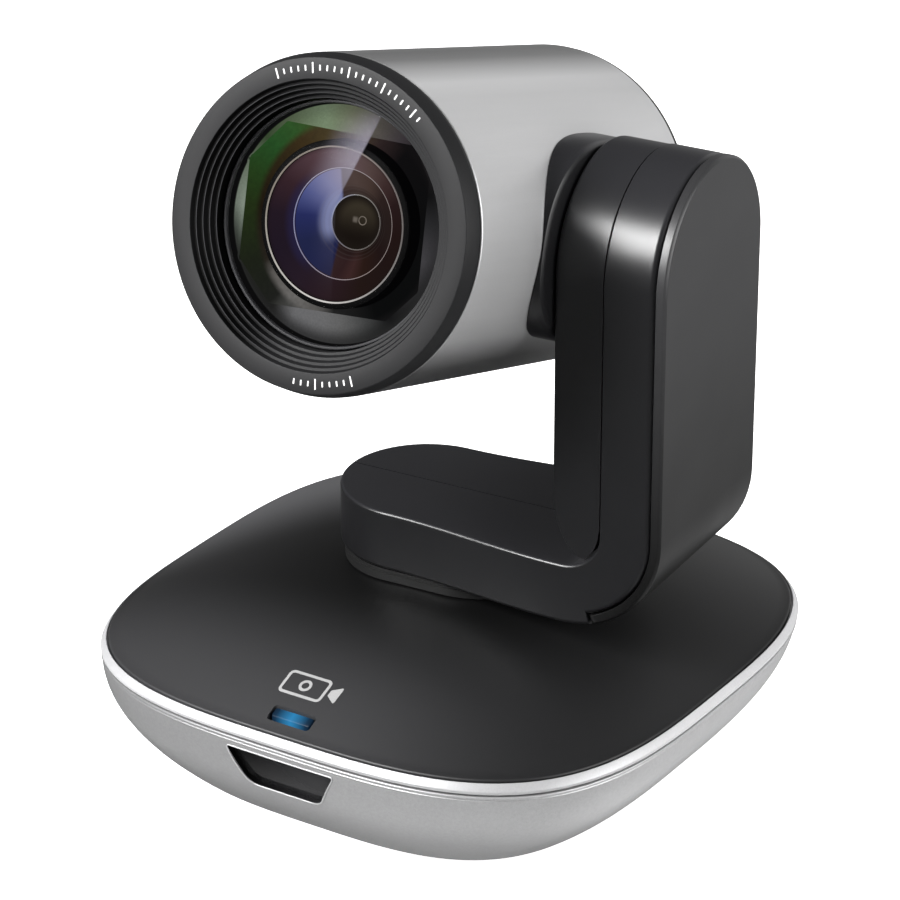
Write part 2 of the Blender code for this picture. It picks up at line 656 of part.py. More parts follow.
def lens_block(m, head):
    """The fixed body of the zoom lens, its sensor and boards."""
    tube("lens_front_housing", 16.6, 14.9, -49.0, -42.2, m["black"], "Y", head, 36)
    front = [(0, -48.9), (5.0, -48.7), (10.0, -48.0), (14.6, -46.6), (14.6, -43.0), (8.0, -44.6),
             (0, -45.2)]
    turned("front_lens", front, m["glass"], "Y", head, 32)
    chassis_wall = 1.6
    profile = [(CHASSIS_R, CHASSIS_FRONT), (CHASSIS_R, CHASSIS_REAR), (6.0, CHASSIS_REAR), (6.0, 8.0),
               (CHASSIS_R - chassis_wall, 8.0), (CHASSIS_R - chassis_wall, -42.0), (16.9, -42.0),
               (16.9, CHASSIS_FRONT)]
    chassis = turned("lens_chassis", profile, m["black"], "Y", head, 36)
    for name, z in (("zoom", SCREW_Z), ("focus", -SCREW_Z)):
        combine(chassis, move(rod(f"{name}_wall_hole", 1.5, 6.0, 12.0, None, "Y", head, 12), 0, 0, z))
    for name, x in (("left", -ROD_X), ("right", ROD_X)):
        move(rod(f"guide_rod_{name}", 1.0, -41.7, 7.7, m["steel"], "Y", head, 12), x)
    for name, z in (("zoom", SCREW_Z), ("focus", -SCREW_Z)):
        motor = rod(f"{name}_motor", 4.4, CHASSIS_REAR + GAP, 20.0, m["steel"], "Y", head, 20)
        move(motor, 0, 0, z)
        move(rod(f"{name}_leadscrew", 1.0, -41.5, CHASSIS_REAR, m["brass"], "Y", head, 12), 0, 0, z)
    box("image_sensor", (-4.0, 10.3, -3.2), (4.0, 11.3, 3.2), m["gloss"], head)
    box("sensor_board", (-12.0, 11.6, -9.5), (12.0, 12.8, 9.5), m["board"], head)
    video = rounded_rectangle((-17.0, -22.0), (17.0, 22.0), 2.0)
    prism("video_board", video, 24.0, 25.4, m["board"], "Y", head)
    box("lens_bracket", (20.4, -11.0, -9.0), (26.6, 11.0, 9.0), m["steel"], head)


def carriage(name, low, high, clear_z, finish, head):
    """A lens carrier: a ring with four arms that ride the rods and the lead screw."""
    outline = []
    for step in range(CARRIAGE_POINTS):
        angle = 2 * math.pi * step / CARRIAGE_POINTS
        reach = 11.6
        for across, along in ((math.sin(angle), math.cos(angle)), (math.cos(angle), math.sin(angle))):
            if abs(across) < 1e-6 or 4.0 / abs(across) > reach:
                reach = max(reach, min(16.8 / abs(along), 4.0 / max(abs(across), 1e-6)))
        outline.append((reach * math.cos(angle), reach * math.sin(angle)))
    made = prism(name, outline, low, high, finish, "Y", head)
    holes = [("lens", 9.2, 0, 0, 24), ("rod_a", 1.08, ROD_X, 0, 12), ("rod_b", 1.08, -ROD_X, 0, 12),
             ("nut", 1.08, 0, -clear_z, 12), ("pass", 1.7, 0, clear_z, 12)]
    for hole, radius, x, z, segments in holes:
        cutter = rod(f"{name}_{hole}_hole", radius, low - 1, high + 1, None, "Y", head, segments)
        combine(made, move(cutter, x, 0, z))
    return made


def lens_carriages(m, head):
    """The two groups that slide along the rods."""
    carriage("zoom_carriage", -28.5, -22.5, -SCREW_Z, m["black"], head)
    zoom = [(0, -27.8), (5.0, -28.0), (8.9, -28.4), (8.9, -22.6), (5.0, -23.6), (0, -24.0)]
    turned("zoom_lens", zoom, m["glass"], "Y", head)
    carriage("focus_carriage", -4.5, 0.5, SCREW_Z, m["black"], head)
    focus = [(0, -4.4), (5.0, -4.0), (8.9, -2.8), (8.9, -1.2), (5.0, -0.2), (0, 0.2)]
    turned("focus_lens", focus, m["glass"], "Y", head)


def tilt_parts(m, head):
    """The saddle, hub and gear that turn with the head on the tilt axis."""
    levels = ((20.0, 1.0), (32.6, 1.0), (33.4, 0.985), (ARM_INNER_X - GAP, 0.96))
    rings = []
    for x, scale in levels:
        half_y, half_z = (half * scale for half in SADDLE_HALF)
        rings.append([(x, y, z) for y, z in superellipse(half_y, half_z, SADDLE_POWER, 36)])
    saddle = loft("tilt_saddle", rings, m["satin"], head)
    combine(saddle, rod("saddle_seat", BARREL_R + GAP, -60.0, 60.0, None, "Y", head, 64))
    combine(saddle, rod("saddle_hole", HUB_R + 0.5, 10.0, 40.0, None, "X", head))
    hub = [(10.0, 27.0), (10.0, 28.4), (HUB_R, 28.4), (HUB_R, 34.2), (SHAFT_R, 34.2),
           (SHAFT_R, 51.9), (3.0, 51.9), (3.0, 27.0)]
    turned("tilt_hub", hub, m["steel"], "X", head)
    gear("tilt_gear", TILT_TEETH, TILT_MODULE, GEAR_X, GEAR_X + 2.4, SHAFT_R + 0.1, m["nylon"], "X",
         -90.0 + REST_TILT_DEG, head)


# ---------------------------------------------------------------- assembly

def empty(name, parent=None):
    made = bpy.data.objects.new(name, None)
    bpy.context.scene.collection.objects.link(made)
    made.parent = parent
    return made


def main():
    for old in list(bpy.data.objects):
        bpy.data.objects.remove(old)
    m = {
        "silver": material("silver_paint", (0.62, 0.62, 0.63), 0.45, 0.6),
        "trim": material("bright_trim", (0.80, 0.80, 0.81), 0.25, 0.8),
        "charcoal": material("charcoal_satin", (0.045, 0.045, 0.05), 0.5),
        "satin": material("black_satin", (0.025, 0.025, 0.028), 0.4),
        "black": material("black_plastic", (0.012, 0.012, 0.013), 0.5),
        "gloss": material("black_gloss", (0.005, 0.005, 0.006), 0.08),
        "barrel": material("barrel_silver", (0.45, 0.45, 0.46), 0.4, 0.8),
        "glass": material("lens_glass", (0.9, 0.95, 1.0), 0.02, 0.0, 1.0),
        "blue": material("indicator_blue", (0.03, 0.30, 0.75), 0.3),
        "steel": material("plain_steel", (0.5, 0.5, 0.5), 0.35, 1.0),
        "brass": material("plain_brass", (0.72, 0.55, 0.28), 0.3, 1.0),
        "bronze": material("bearing_bronze", (0.55, 0.38, 0.22), 0.35, 1.0),
        "rubber": material("soft_rubber", (0.02, 0.02, 0.02), 0.9),
        "nylon": material("gear_nylon", (0.85, 0.84, 0.78), 0.5),
        "board": material("circuit_board", (0.02, 0.16, 0.07), 0.5),
    }
    pan = empty("pan_pivot")
    pan.rotation_euler.z = math.radians(REST_PAN_DEG)
    head = move(empty("tilt_pivot", pan), 0.0, 0.0, TILT_Z)
    head.rotation_euler.x = -math.radians(REST_TILT_DEG)
    base_pieces(m)
    arm_pieces(m, pan)
    drive_gears(m, pan)
    head_shells(m, head)
    lens_block(m, head)
    lens_carriages(m, head)
    tilt_parts(m, head)


main()
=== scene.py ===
"""Looks for the desktop pan-tilt-zoom camera: fine shells, lens optics, finishes, studio, camera.

Lengths are in millimetres until a mesh is made. Three frames are used: the base's, which is the
world's, the arm's (turned by the pan joint's rest angle) and the head's (origin on the tilt axis,
-Y looking out).
"""
import json
import math

import bmesh
import bpy
from mathutils import Matrix, Vector


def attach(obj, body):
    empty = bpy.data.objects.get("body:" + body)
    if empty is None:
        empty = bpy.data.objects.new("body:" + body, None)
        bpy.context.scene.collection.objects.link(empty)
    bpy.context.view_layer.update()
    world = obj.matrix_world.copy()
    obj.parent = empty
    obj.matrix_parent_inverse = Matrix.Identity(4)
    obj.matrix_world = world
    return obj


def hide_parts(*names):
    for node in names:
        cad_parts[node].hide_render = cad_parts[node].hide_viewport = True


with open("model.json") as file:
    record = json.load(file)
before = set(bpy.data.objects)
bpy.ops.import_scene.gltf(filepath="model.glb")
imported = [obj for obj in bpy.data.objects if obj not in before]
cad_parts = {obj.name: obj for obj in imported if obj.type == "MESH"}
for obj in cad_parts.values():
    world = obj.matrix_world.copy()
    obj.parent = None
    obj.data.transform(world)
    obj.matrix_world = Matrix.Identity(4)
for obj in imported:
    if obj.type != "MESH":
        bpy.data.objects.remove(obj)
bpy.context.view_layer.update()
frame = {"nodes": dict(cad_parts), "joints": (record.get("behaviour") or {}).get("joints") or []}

MM = 0.001
SIDES = 176                    # points round the squarish base
TURNS = 144                    # points round the turned pieces

# The base
BASE_POWER = 3.25
RIM_TOP = 28.2
LIP_TOP = 25.35
FLOOR_Z = 1.0
BOTTOM_SHARE = 0.72
BOWL_POWER = 1.85
BOWL_FORWARD = 4.5
HOUSING_HALF = 64.7
COVER_HALF = 63.5
COVER_RISE = 14.0
COVER_POWER = 2.2
COVER_HOLE = 11.2
OPENING_HALF = 34.0
PORT_FACE = 52.6
GUIDE_HALF = 4.6
SCREW_PLACES = ((-32.5, -35.5), (-32.5, 29.5), (32.5, -35.5), (32.5, 29.5))

# The arm: a plate bent round a corner; s runs from the foot's end to the top, w from its inner
# to its outer side
CORNER_X = 36.2
CORNER_Z = 66.5
INNER_R = 8.8
THICK = 13.2
BEND = (INNER_R + THICK / 2) * math.pi / 2
FOOT_TOP = CORNER_Z - INNER_R
ARM_HALF = 21.7
FOOT_END_X = -6.0
FOOT_END_R = 18.1
TILT_Z = 118.6
SEAM_X = 44.8
POD_X = 34.2
POD_HALF = 21.5
POD_FLARE_Z = 74.0
SKIN_START = 0.2 * BEND
SHELL_W = 10.9

# The head
BARREL_R = 32.9
BEZEL_FRONT = -55.8
GLASS_Y = -49.9
THROAT_R = 27.9                # the bezel's stair: its first radius, and each step across
TREAD = 0.52
RISER = 0.42


# ------------------------------------------------------------------ frames

joints = {joint["name"]: joint for joint in frame["joints"]}
ACROSS = -Vector(joints["tilt"]["axis"])
REARWARD = Vector(joints["zoom_slide"]["axis"])
UP = Vector((0.0, 0.0, 1.0))


def basis(x_axis, y_axis, z_axis, origin):
    """A frame from three axes and an origin in metres."""
    turned_axes = Matrix((x_axis, y_axis, z_axis)).transposed().to_4x4()
    return Matrix.Translation(origin) @ turned_axes


BASE = Matrix.Identity(4)
ARM = basis(ACROSS, UP.cross(ACROSS), UP, Vector((0.0, 0.0, 0.0)))
HEAD = basis(ACROSS, REARWARD, ACROSS.cross(REARWARD), Vector(joints["tilt"]["pos_m"]))


# ------------------------------------------------------------------ outlines

def fillet(points, steps=4, closed=True):
    """Round the corners of a 2-D polyline; a point's third value is its corner radius."""
    made = []
    count = len(points)
    for index, point in enumerate(points):
        corner = Vector(point[:2])
        radius = point[2] if len(point) > 2 else 0.0
        at_end = not closed and index in (0, count - 1)
        if radius <= 0 or at_end:
            made.append(tuple(corner))
            continue
        before = Vector(points[index - 1][:2]) - corner
        after = Vector(points[(index + 1) % count][:2]) - corner
        limit = 0.49 * min(before.length, after.length)
        before.normalize()
        after.normalize()
        half = before.angle(after) / 2
        reach = min(radius / math.tan(half), limit)
        radius = reach * math.tan(half)
        centre = corner + (before + after).normalized() * (radius / math.sin(half))
        start = corner + before * reach - centre
        end = corner + after * reach - centre
        first = math.atan2(start.y, start.x)
        sweep = math.atan2(end.y, end.x) - first
        sweep = (sweep + math.pi) % (2 * math.pi) - math.pi
        for step in range(steps + 1):
            angle = first + sweep * step / steps
            made.append((centre.x + radius * math.cos(angle), centre.y + radius * math.sin(angle)))
    return made


def squarish(half, power, count=SIDES):
    """Superellipse outline, evenly spaced in polar angle."""
    points = []
    for step in range(count):
        angle = 2 * math.pi * (step + 0.5) / count
        cosine, sine = math.cos(angle), math.sin(angle)
        radius = half / (abs(cosine) ** power + abs(sine) ** power) ** (1 / power)
        points.append((radius * cosine, radius * sine))
    return points


def ring_at(half, z, power=BASE_POWER, shift=0.0):
    """One squarish ring of 3-D points."""
    return [(x, y + shift, z) for x, y in squarish(half, power)]


def arc(steps):
    """The angles of a quarter turn."""
    return [math.pi / 2 * step / steps for step in range(steps + 1)]


def bowl_depth(z):
    """0 at the bowl's rim, 1 at its bottom."""
    return max(25.4 - z, 0.0) / (25.4 - FLOOR_Z)


def bowl_half(z):
    """Half width of the lower housing at a height."""
    return HOUSING_HALF * (BOTTOM_SHARE + (1 - BOTTOM_SHARE) * (1 - bowl_depth(z) ** BOWL_POWER))


def bowl_front(x, z):
    """Y of the bowl's front wall."""
    half = bowl_half(z)
    wall = (half ** BASE_POWER - abs(x) ** BASE_POWER) ** (1 / BASE_POWER)
    return -wall - BOWL_FORWARD * bowl_depth(z)


def cover_height(share):
    return RIM_TOP + COVER_RISE * (1 - share ** COVER_POWER)


def cover_power(share):
    """The cover's sections turn from the squarish rim to a circle at the middle."""
    return 2.0 + (BASE_POWER - 2.0) * min(max((share - 0.25) / 0.75, 0.0), 1.0)


def cover_z(x, y):
    """Height of the cover's surface over a point."""
    share = 0.5
    for _ in range(12):
        power = cover_power(share)
        share = (abs(x) ** power + abs(y) ** power) ** (1 / power) / COVER_HALF
    return cover_height(share)


# ------------------------------------------------------------------ meshes

def finish_mesh(mesh, sharp_deg):
    """Outward normals, smooth shading and sharp creases."""
    shape = bmesh.new()
    shape.from_mesh(mesh)
    bmesh.ops.remove_doubles(shape, verts=shape.verts, dist=1e-7)
    bmesh.ops.dissolve_degenerate(shape, edges=shape.edges, dist=1e-7)
    bmesh.ops.recalc_face_normals(shape, faces=shape.faces)
    shape.to_mesh(mesh)
    shape.free()
    mesh.shade_smooth()
    mesh.set_sharp_from_angle(angle=math.radians(sharp_deg))


def mesh_object(name, vertices, faces, place=BASE, sharp_deg=32):
    """A mesh from millimetre vertices, set in one of the frames."""
    mesh = bpy.data.meshes.new(name)
    mesh.from_pydata([Vector(vertex) * MM for vertex in vertices], [], faces)
    finish_mesh(mesh, sharp_deg)
    made = bpy.data.objects.new(name, mesh)
    bpy.context.scene.collection.objects.link(made)
    made.matrix_world = place
    return made


def skin(rings, closed=False, caps=True):
    """Vertices and faces of quads over rings of equal count."""
    count = len(rings[0])
    vertices = [point for ring in rings for point in ring]
    faces = []
    for level in range(len(rings) if closed else len(rings) - 1):
        low, high = level * count, (level + 1) % len(rings) * count
        for step in range(count):
            after = (step + 1) % count
            faces.append((low + step, low + after, high + after, high + step))
    if caps and not closed:
        faces.append(tuple(range(count)))
        faces.append(tuple(range((len(rings) - 1) * count, len(rings) * count)))
    return vertices, faces


AXES = {
    "X": lambda a, b, h: (h, a, b),
    "Y": lambda a, b, h: (b, h, a),
    "Z": lambda a, b, h: (a, b, h),
}


def turned(name, profile, place=HEAD, axis="Y", count=TURNS, at=(0.0, 0.0, 0.0), sharp_deg=32):
    """Turn a closed (radius, height) profile about an axis; it is solid where it meets radius 0."""
    put = AXES[axis]
    vertices = []
    rows = []
    for radius, height in profile:
        if radius < 1e-6:
            rows.append([len(vertices)] * count)
            vertices.append(Vector(put(0.0, 0.0, height)) + Vector(at))
            continue
        rows.append(list(range(len(vertices), len(vertices) + count)))
        for step in range(count):
            angle = 2 * math.pi * step / count
            point = put(radius * math.cos(angle), radius * math.sin(angle), height)
            vertices.append(Vector(point) + Vector(at))
    faces = []
    solid = profile[0][0] < 1e-6
    for index in range(len(rows) - 1 if solid else len(rows)):
        low, high = rows[index], rows[(index + 1) % len(rows)]
        for step in range(count):
            after = (step + 1) % count
            corners = [low[step], low[after], high[after], high[step]]
            face = tuple(dict.fromkeys(corners))
            if len(face) > 2:
                faces.append(face)
    return mesh_object(name, vertices, faces, place, sharp_deg)


def prism(name, outline, low, high, place=BASE, axis="Z"):
    """Extrude an outline: (y, z) along X, (z, x) along Y or (x, y) along Z."""
    put = AXES[axis]
    rings = [[put(a, b, level) for a, b in outline] for level in (low, high)]
    return mesh_object(name, *skin(rings), place)


def soft_prism(name, outline, low, high, edge, place=BASE, axis="Z"):
    """Extrude an outline with rounded rims, by shrinking it towards its own centre line."""
    put = AXES[axis]
    rings = [[put(a, b, level) for a, b in inset_outline(outline, inset)]
             for inset, level in edge_levels(low, high, edge)]
    return mesh_object(name, *skin(rings), place)


def inset_outline(outline, inset):
    """Move each point of a counter-clockwise outline inwards along its own normal."""
    points = [Vector(point) for point in outline]
    made = []
    for index, point in enumerate(points):
        before = (point - points[index - 1]).normalized()
        after = (points[(index + 1) % len(points)] - point).normalized()
        along = (before + after).normalized()
        normal = Vector((-along.y, along.x))
        stretch = 1 / max(normal.dot(Vector((-before.y, before.x))), 0.5)
        made.append(tuple(point + normal * inset * stretch))
    return made


def edge_levels(low, high, edge, steps=4):
    """(inset, level) pairs for a wall whose two rims are quarter rounds."""
    levels = [(edge * (1 - math.sin(turn)), low + edge * (1 - math.cos(turn)))
              for turn in arc(steps)]
    return levels + [(edge * (1 - math.cos(turn)), high - edge * (1 - math.sin(turn)))
                     for turn in arc(steps)]


def stadium(half_length, radius, count=20):
    """A slot shape along X, counter-clockwise."""
    points = []
    for centre, first in ((half_length, -90), (-half_length, 90)):
        for step in range(count + 1):
            angle = math.radians(first + 180 * step / count)
            points.append((centre + radius * math.cos(angle), radius * math.sin(angle)))
    return points


def rounded_box(low, high, radius, steps=5):
    """A rectangle with round corners, counter-clockwise."""
    return fillet([(low[0], low[1], radius), (high[0], low[1], radius), (high[0], high[1], radius),
                   (low[0], high[1], radius)], steps)


def combine(made, cutter, operation="DIFFERENCE"):
    """Cut, join or keep the overlap with another mesh, then drop that mesh."""
    modifier = made.modifiers.new("combine", "BOOLEAN")
    modifier.operation = operation
    modifier.solver = "EXACT"
    modifier.object = cutter
    bpy.context.view_layer.update()
    evaluated = made.evaluated_get(bpy.context.evaluated_depsgraph_get())
    mesh = bpy.data.meshes.new_from_object(evaluated)
    made.modifiers.clear()
    made.data = mesh
    bpy.data.objects.remove(cutter)
    return made


def settle(made, sharp_deg=32):
    """Shade a mesh again after its cuts."""
    made.data.shade_smooth()
    made.data.set_sharp_from_angle(angle=math.radians(sharp_deg))
    return made


def weigh(made):
    """Let the large faces set the normals, so that only the rounded rims shade."""
    modifier = made.modifiers.new("weighted_normals", "WEIGHTED_NORMAL")
    modifier.keep_sharp = True
    return made


def tube_along(name, points, radius, place=BASE, cyclic=True, count=8):
    """A thin round bead along 3-D points in millimetres."""
    rings = []
    total = len(points)
    for index in range(total):
        before = Vector(points[index - 1 if cyclic or index else 0])
        after = Vector(points[(index + 1) % total if cyclic or index < total - 1 else index])
        along = (after - before).normalized()
        side = along.cross(Vector((0.0, -0.94, 0.34))).normalized()
        out = side.cross(along)
        centre = Vector(points[index])
        ring = []
        for step in range(count):
            angle = 2 * math.pi * step / count
            ring.append(centre + (side * math.cos(angle) + out * math.sin(angle)) * radius)
        rings.append(ring)
    return mesh_object(name, *skin(rings, closed=cyclic), place)


def install(made, finish, body, slot, *nodes):
    """Give a piece its finish and its body, and hide the CAD nodes that it stands for; slot is not
    used.
    """
    made.data.materials.clear()
    made.data.materials.append(finish)
    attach(made, body)
    if nodes:
        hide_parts(*nodes)
    return made


# ------------------------------------------------------------------ finishes

class Nodes:
    """A short way to wire a material's nodes."""

    def __init__(self, name):
        self.material = bpy.data.materials.new(name)
        self.material.use_nodes = True
        self.tree = self.material.node_tree
        self.shader = self.tree.nodes["Principled BSDF"]
        self.place = None

    def add(self, kind, **values):
        node = self.tree.nodes.new(kind)
        for key, value in values.items():
            setattr(node, key, value)
        return node

    def link(self, source, target):
        self.tree.links.new(source, target)

    def position(self):
        """Coordinates in the piece's own frame, in metres."""
        if self.place is None:
            self.place = self.add("ShaderNodeTexCoord")
        return self.place.outputs["Object"]

    def noise(self, scale, detail=2.0, stretch=None):
        """Noise with cells of about 1/scale metres; stretch squeezes it along an axis."""
        source = self.position()
        if stretch is not None:
            mapping = self.add("ShaderNodeMapping")
            mapping.inputs["Scale"].default_value = stretch
            self.link(source, mapping.inputs["Vector"])
            source = mapping.outputs["Vector"]
        noise = self.add("ShaderNodeTexNoise")
        noise.inputs["Scale"].default_value = scale
        noise.inputs["Detail"].default_value = detail
        self.link(source, noise.inputs["Vector"])
        return noise.outputs["Fac"]

    def ramp(self, factor, stops):
        """Colours or greys along a factor."""
        ramp = self.add("ShaderNodeValToRGB")
        elements = ramp.color_ramp.elements
        while len(elements) < len(stops):
            elements.new(0.5)
        for element, (at, colour) in zip(elements, stops):
            element.position = at
            element.color = (*colour, 1.0) if len(colour) == 3 else colour
        self.link(factor, ramp.inputs["Fac"])
        return ramp.outputs["Color"]

    def greys(self, factor, stops):
        return self.ramp(factor, [(at, (grey,) * 3) for at, grey in stops])

    def math(self, operation, first, second=None, clamp=False):
        node = self.add("ShaderNodeMath", operation=operation, use_clamp=clamp)
        for index, value in enumerate((first, second)):
            if value is None:
                continue
            if isinstance(value, (int, float)):
                node.inputs[index].default_value = value
            else:
                self.link(value, node.inputs[index])
        return node.outputs[0]

    def fold(self, operation, values):
        result = values[0]
        for value in values[1:]:
            result = self.math(operation, result, value)
        return result

    def product(self, *values):
        return self.fold("MULTIPLY", values)

    def total(self, *values):
        return self.fold("ADD", values)

    def remap(self, value, low, high, to_low=0.0, to_high=1.0):
        """Smoothly map a range to another."""
        node = self.add("ShaderNodeMapRange", interpolation_type="SMOOTHSTEP")
        self.link(value, node.inputs["Value"])
        for key, number in (("From Min", low), ("From Max", high), ("To Min", to_low),
                            ("To Max", to_high)):
            node.inputs[key].default_value = number
        return node.outputs["Result"]

    def mix(self, factor, first, second, how="MIX"):
        """Mix two colours."""
        node = self.add("ShaderNodeMix", data_type="RGBA", blend_type=how)
        for value, key in ((factor, "Factor"), (first, "A"), (second, "B")):
            self.feed(value, node.inputs[key])
        return node.outputs["Result"]

    def tint(self, first, second):
        """The product of two colours."""
        return self.mix(1.0, first, second, "MULTIPLY")

    def feed(self, value, socket):
        if isinstance(value, (int, float)):
            socket.default_value = value
        elif isinstance(value, tuple):
            socket.default_value = (*value, 1.0)
        else:
            self.link(value, socket)

    def set(self, **values):
        for key, value in values.items():
            self.feed(value, self.shader.inputs[key.replace("_", " ")])

    def bump(self, height, strength, distance):
        node = self.add("ShaderNodeBump")
        node.inputs["Strength"].default_value = strength
        node.inputs["Distance"].default_value = distance
        self.link(height, node.inputs["Height"])
        self.link(node.outputs["Normal"], self.shader.inputs["Normal"])

    def axes(self):
        """The position's x, y and z in metres."""
        split = self.add("ShaderNodeSeparateXYZ")
        self.link(self.position(), split.inputs[0])
        return split.outputs


PLASTIC_GRAIN = 9000.0          # cells per metre
PAINT_GRAIN = 5200.0
FINE_BUMP = 0.00002
FAINT_BUMP = 0.00001


def moulded(name, colour, roughness, grain=PLASTIC_GRAIN, depth=FINE_BUMP, specular=0.5, lift=1.0):
    """Moulded plastic: a fine spark-eroded grain; lift lightens the faces that look up, a painted
    top light.
    """
    n = Nodes(name)
    spread = 0.15
    facing = n.add("ShaderNodeSeparateXYZ")
    n.link(n.add("ShaderNodeNewGeometry").outputs["Normal"], facing.inputs[0])
    # painted top light: faces that look up get a lighter base colour
    lighter = n.remap(facing.outputs["Z"], 0.25, 0.95, 1.0, lift)
    fine = n.noise(grain, 3.0)
    broad = n.noise(45.0, 2.0)
    dark = tuple(value * (1 - spread) for value in colour)
    light = tuple(value * (1 + spread) for value in colour)
    n.set(Base_Color=n.tint(lighter, n.ramp(fine, [(0.3, dark), (0.7, light)])),
          Roughness=n.remap(broad, 0.25, 0.75, roughness * 0.93, roughness * 1.07),
          Specular_IOR_Level=specular)
    n.bump(fine, 0.35, depth)
    return n.material


# painted shade along the base from its front left to its rear right, low and high on the wall
BOWL_PAINTED_SHADE_LOW = ((0.05, 0.23), (0.47, 0.29), (0.62, 0.29), (0.70, 0.34), (0.80, 0.33), (0.92, 0.31))
BOWL_PAINTED_SHADE_HIGH = ((0.05, 0.33), (0.47, 0.41), (0.62, 0.48), (0.70, 0.54), (0.80, 0.56), (0.92, 0.60))
TRIM_PAINTED_SHADES = ((0.05, 0.86), (0.30, 0.60), (0.62, 0.60), (0.82, 1.0))


def sparkle(name, colour, roughness, metallic, speckle, grain=PAINT_GRAIN, painted_shades=()):
    """Silver paint: flakes that scatter light; painted shade runs along the front, low and high up.
    """
    n = Nodes(name)
    dim = (1.0, 1.0, 1.0)
    if painted_shades:
        # painted shade: a tint set by the place along the base and the height on the wall
        axes = n.axes()
        along = n.total(n.product(axes["X"], 5.6), n.product(axes["Y"], 3.6))
        along = n.math("ADD", along, 0.5, True)
        low, high = [n.greys(along, stops) for stops in painted_shades]
        dim = n.mix(n.remap(axes["Z"], 0.006, 0.018), low, high)
    flakes = n.noise(grain, 3.0)
    clumps = n.noise(grain / 3.4, 2.0)
    both = n.total(n.product(flakes, 0.65), n.product(clumps, 0.35))
    dark = tuple(value * (1 - speckle) for value in colour)
    light = tuple(min(value * (1 + speckle), 1.0) for value in colour)
    n.set(Base_Color=n.tint(dim, n.ramp(both, [(0.36, dark), (0.64, light)])), Metallic=metallic,
          Roughness=n.remap(flakes, 0.3, 0.7, roughness * 0.85, roughness * 1.15))
    n.bump(flakes, 0.25, FINE_BUMP)
    return n.material


def brushed(name, colour, roughness, stretch=(1.0, 1.0, 30.0)):
    """Metal with fine drawn lines."""
    n = Nodes(name)
    lines = n.noise(900.0, 2.0, stretch)
    dark = tuple(value * 0.8 for value in colour)
    n.set(Base_Color=n.ramp(lines, [(0.3, dark), (0.7, colour)]), Metallic=1.0,
          Roughness=n.remap(lines, 0.3, 0.7, roughness * 0.8, roughness * 1.2))
    n.bump(lines, 0.15, FINE_BUMP)
    return n.material


def circuit(name):
    """Solder mask with faint tracks."""
    n = Nodes(name)
    tracks = n.add("ShaderNodeTexVoronoi", distance="MANHATTAN")
    tracks.inputs["Scale"].default_value = 420.0
    n.link(n.position(), tracks.inputs["Vector"])
    n.set(Base_Color=n.ramp(tracks.outputs["Distance"], [(0.15, (0.05, 0.26, 0.11)),
                                                         (0.3, (0.015, 0.12, 0.05))]),
          Roughness=0.35)
    return n.material


finishes = {
    # silver_paint and bright_trim carry painted shade
    "silver_paint": sparkle("silver_paint", (0.86, 0.86, 0.87), 0.42, 0.55, 0.09,
                            painted_shades=(BOWL_PAINTED_SHADE_LOW, BOWL_PAINTED_SHADE_HIGH)),
    "bright_trim": sparkle("bright_trim", (0.60, 0.60, 0.61), 0.46, 0.35, 0.07, 7000.0,
                           painted_shades=(TRIM_PAINTED_SHADES, TRIM_PAINTED_SHADES)),
    "charcoal_satin": moulded("charcoal_satin", (0.025, 0.025, 0.027), 0.46),
    # black_satin's lift paints a top light on the faces that look up
    "black_satin": moulded("black_satin", (0.0068, 0.0068, 0.0076), 0.34, depth=0.000012, lift=2.6),
    "bezel_satin": moulded("bezel_satin", (0.021, 0.021, 0.023), 0.5, specular=0.26),
    "black_plastic": moulded("black_plastic", (0.006, 0.006, 0.006), 0.5),
    "matt_black": moulded("matt_black", (0.0015, 0.0015, 0.0015), 0.6, specular=0.03),
    "rubber": moulded("soft_rubber", (0.012, 0.012, 0.012), 0.85, 3000.0, 0.00005),
    "steel": brushed("plain_steel", (0.52, 0.52, 0.53), 0.32),
    "brass": brushed("plain_brass", (0.75, 0.57, 0.28), 0.28),
    "bronze": brushed("bearing_bronze", (0.55, 0.38, 0.22), 0.4),
    "nylon": moulded("gear_nylon", (0.80, 0.79, 0.72), 0.45, specular=0.4),
    "circuit": circuit("circuit_board"),
}


# degrees from the barrel's top over either side to its bottom, and the painted light and shade
# there
BARREL_PAINTED_SHADES = ((0, 0.32), (10, 0.40), (18, 0.70), (26, 1.0), (34, 0.90), (50, 0.95), (62, 0.94),
                 (74, 0.95), (86, 0.84), (98, 0.77), (112, 0.70), (122, 0.58), (130, 0.34),
                 (138, 0.15), (180, 0.10))


def barrel_finish():
    """Satin anodised barrel: fine grain, slightly drawn along its length, painted light and shade
    round it, darker underneath.
    """
    n = Nodes("barrel_silver")
    x, _, z = n.axes()
    turn = n.math("DIVIDE", n.math("ABSOLUTE", n.math("ARCTAN2", x, z)), math.pi)
    # painted light and shade by the angle round the barrel
    shade = n.greys(turn, [(angle / 180, value) for angle, value in BARREL_PAINTED_SHADES])
    grain = n.noise(PAINT_GRAIN, 3.0)
    drawn = n.noise(700.0, 2.0, (1.0, 0.06, 1.0))
    both = n.total(n.product(grain, 0.75), n.product(drawn, 0.25))
    grained = n.ramp(both, [(0.35, (0.60, 0.60, 0.605)), (0.65, (0.64, 0.64, 0.645))])
    n.set(Base_Color=n.tint(shade, grained), Specular_IOR_Level=0.3, Metallic=0.6,
          Roughness=n.remap(grain, 0.3, 0.7, 0.35, 0.41))
    n.bump(grain, 0.05, FAINT_BUMP)
    return n.material


def gloss_finish():
    """Infrared window: black gloss with a faint painted sheen towards one end."""
    n = Nodes("black_gloss")
    x = n.axes()["X"]
    # painted sheen: the base colour lightens along X
    n.set(Base_Color=n.ramp(n.remap(x, -0.012, 0.012), [(0.0, (0.002, 0.002, 0.002)),
                                                        (1.0, (0.018, 0.018, 0.019))]),
          Roughness=0.14, Specular_IOR_Level=0.22)
    n.bump(n.noise(300.0), 0.02, FINE_BUMP)
    return n.material


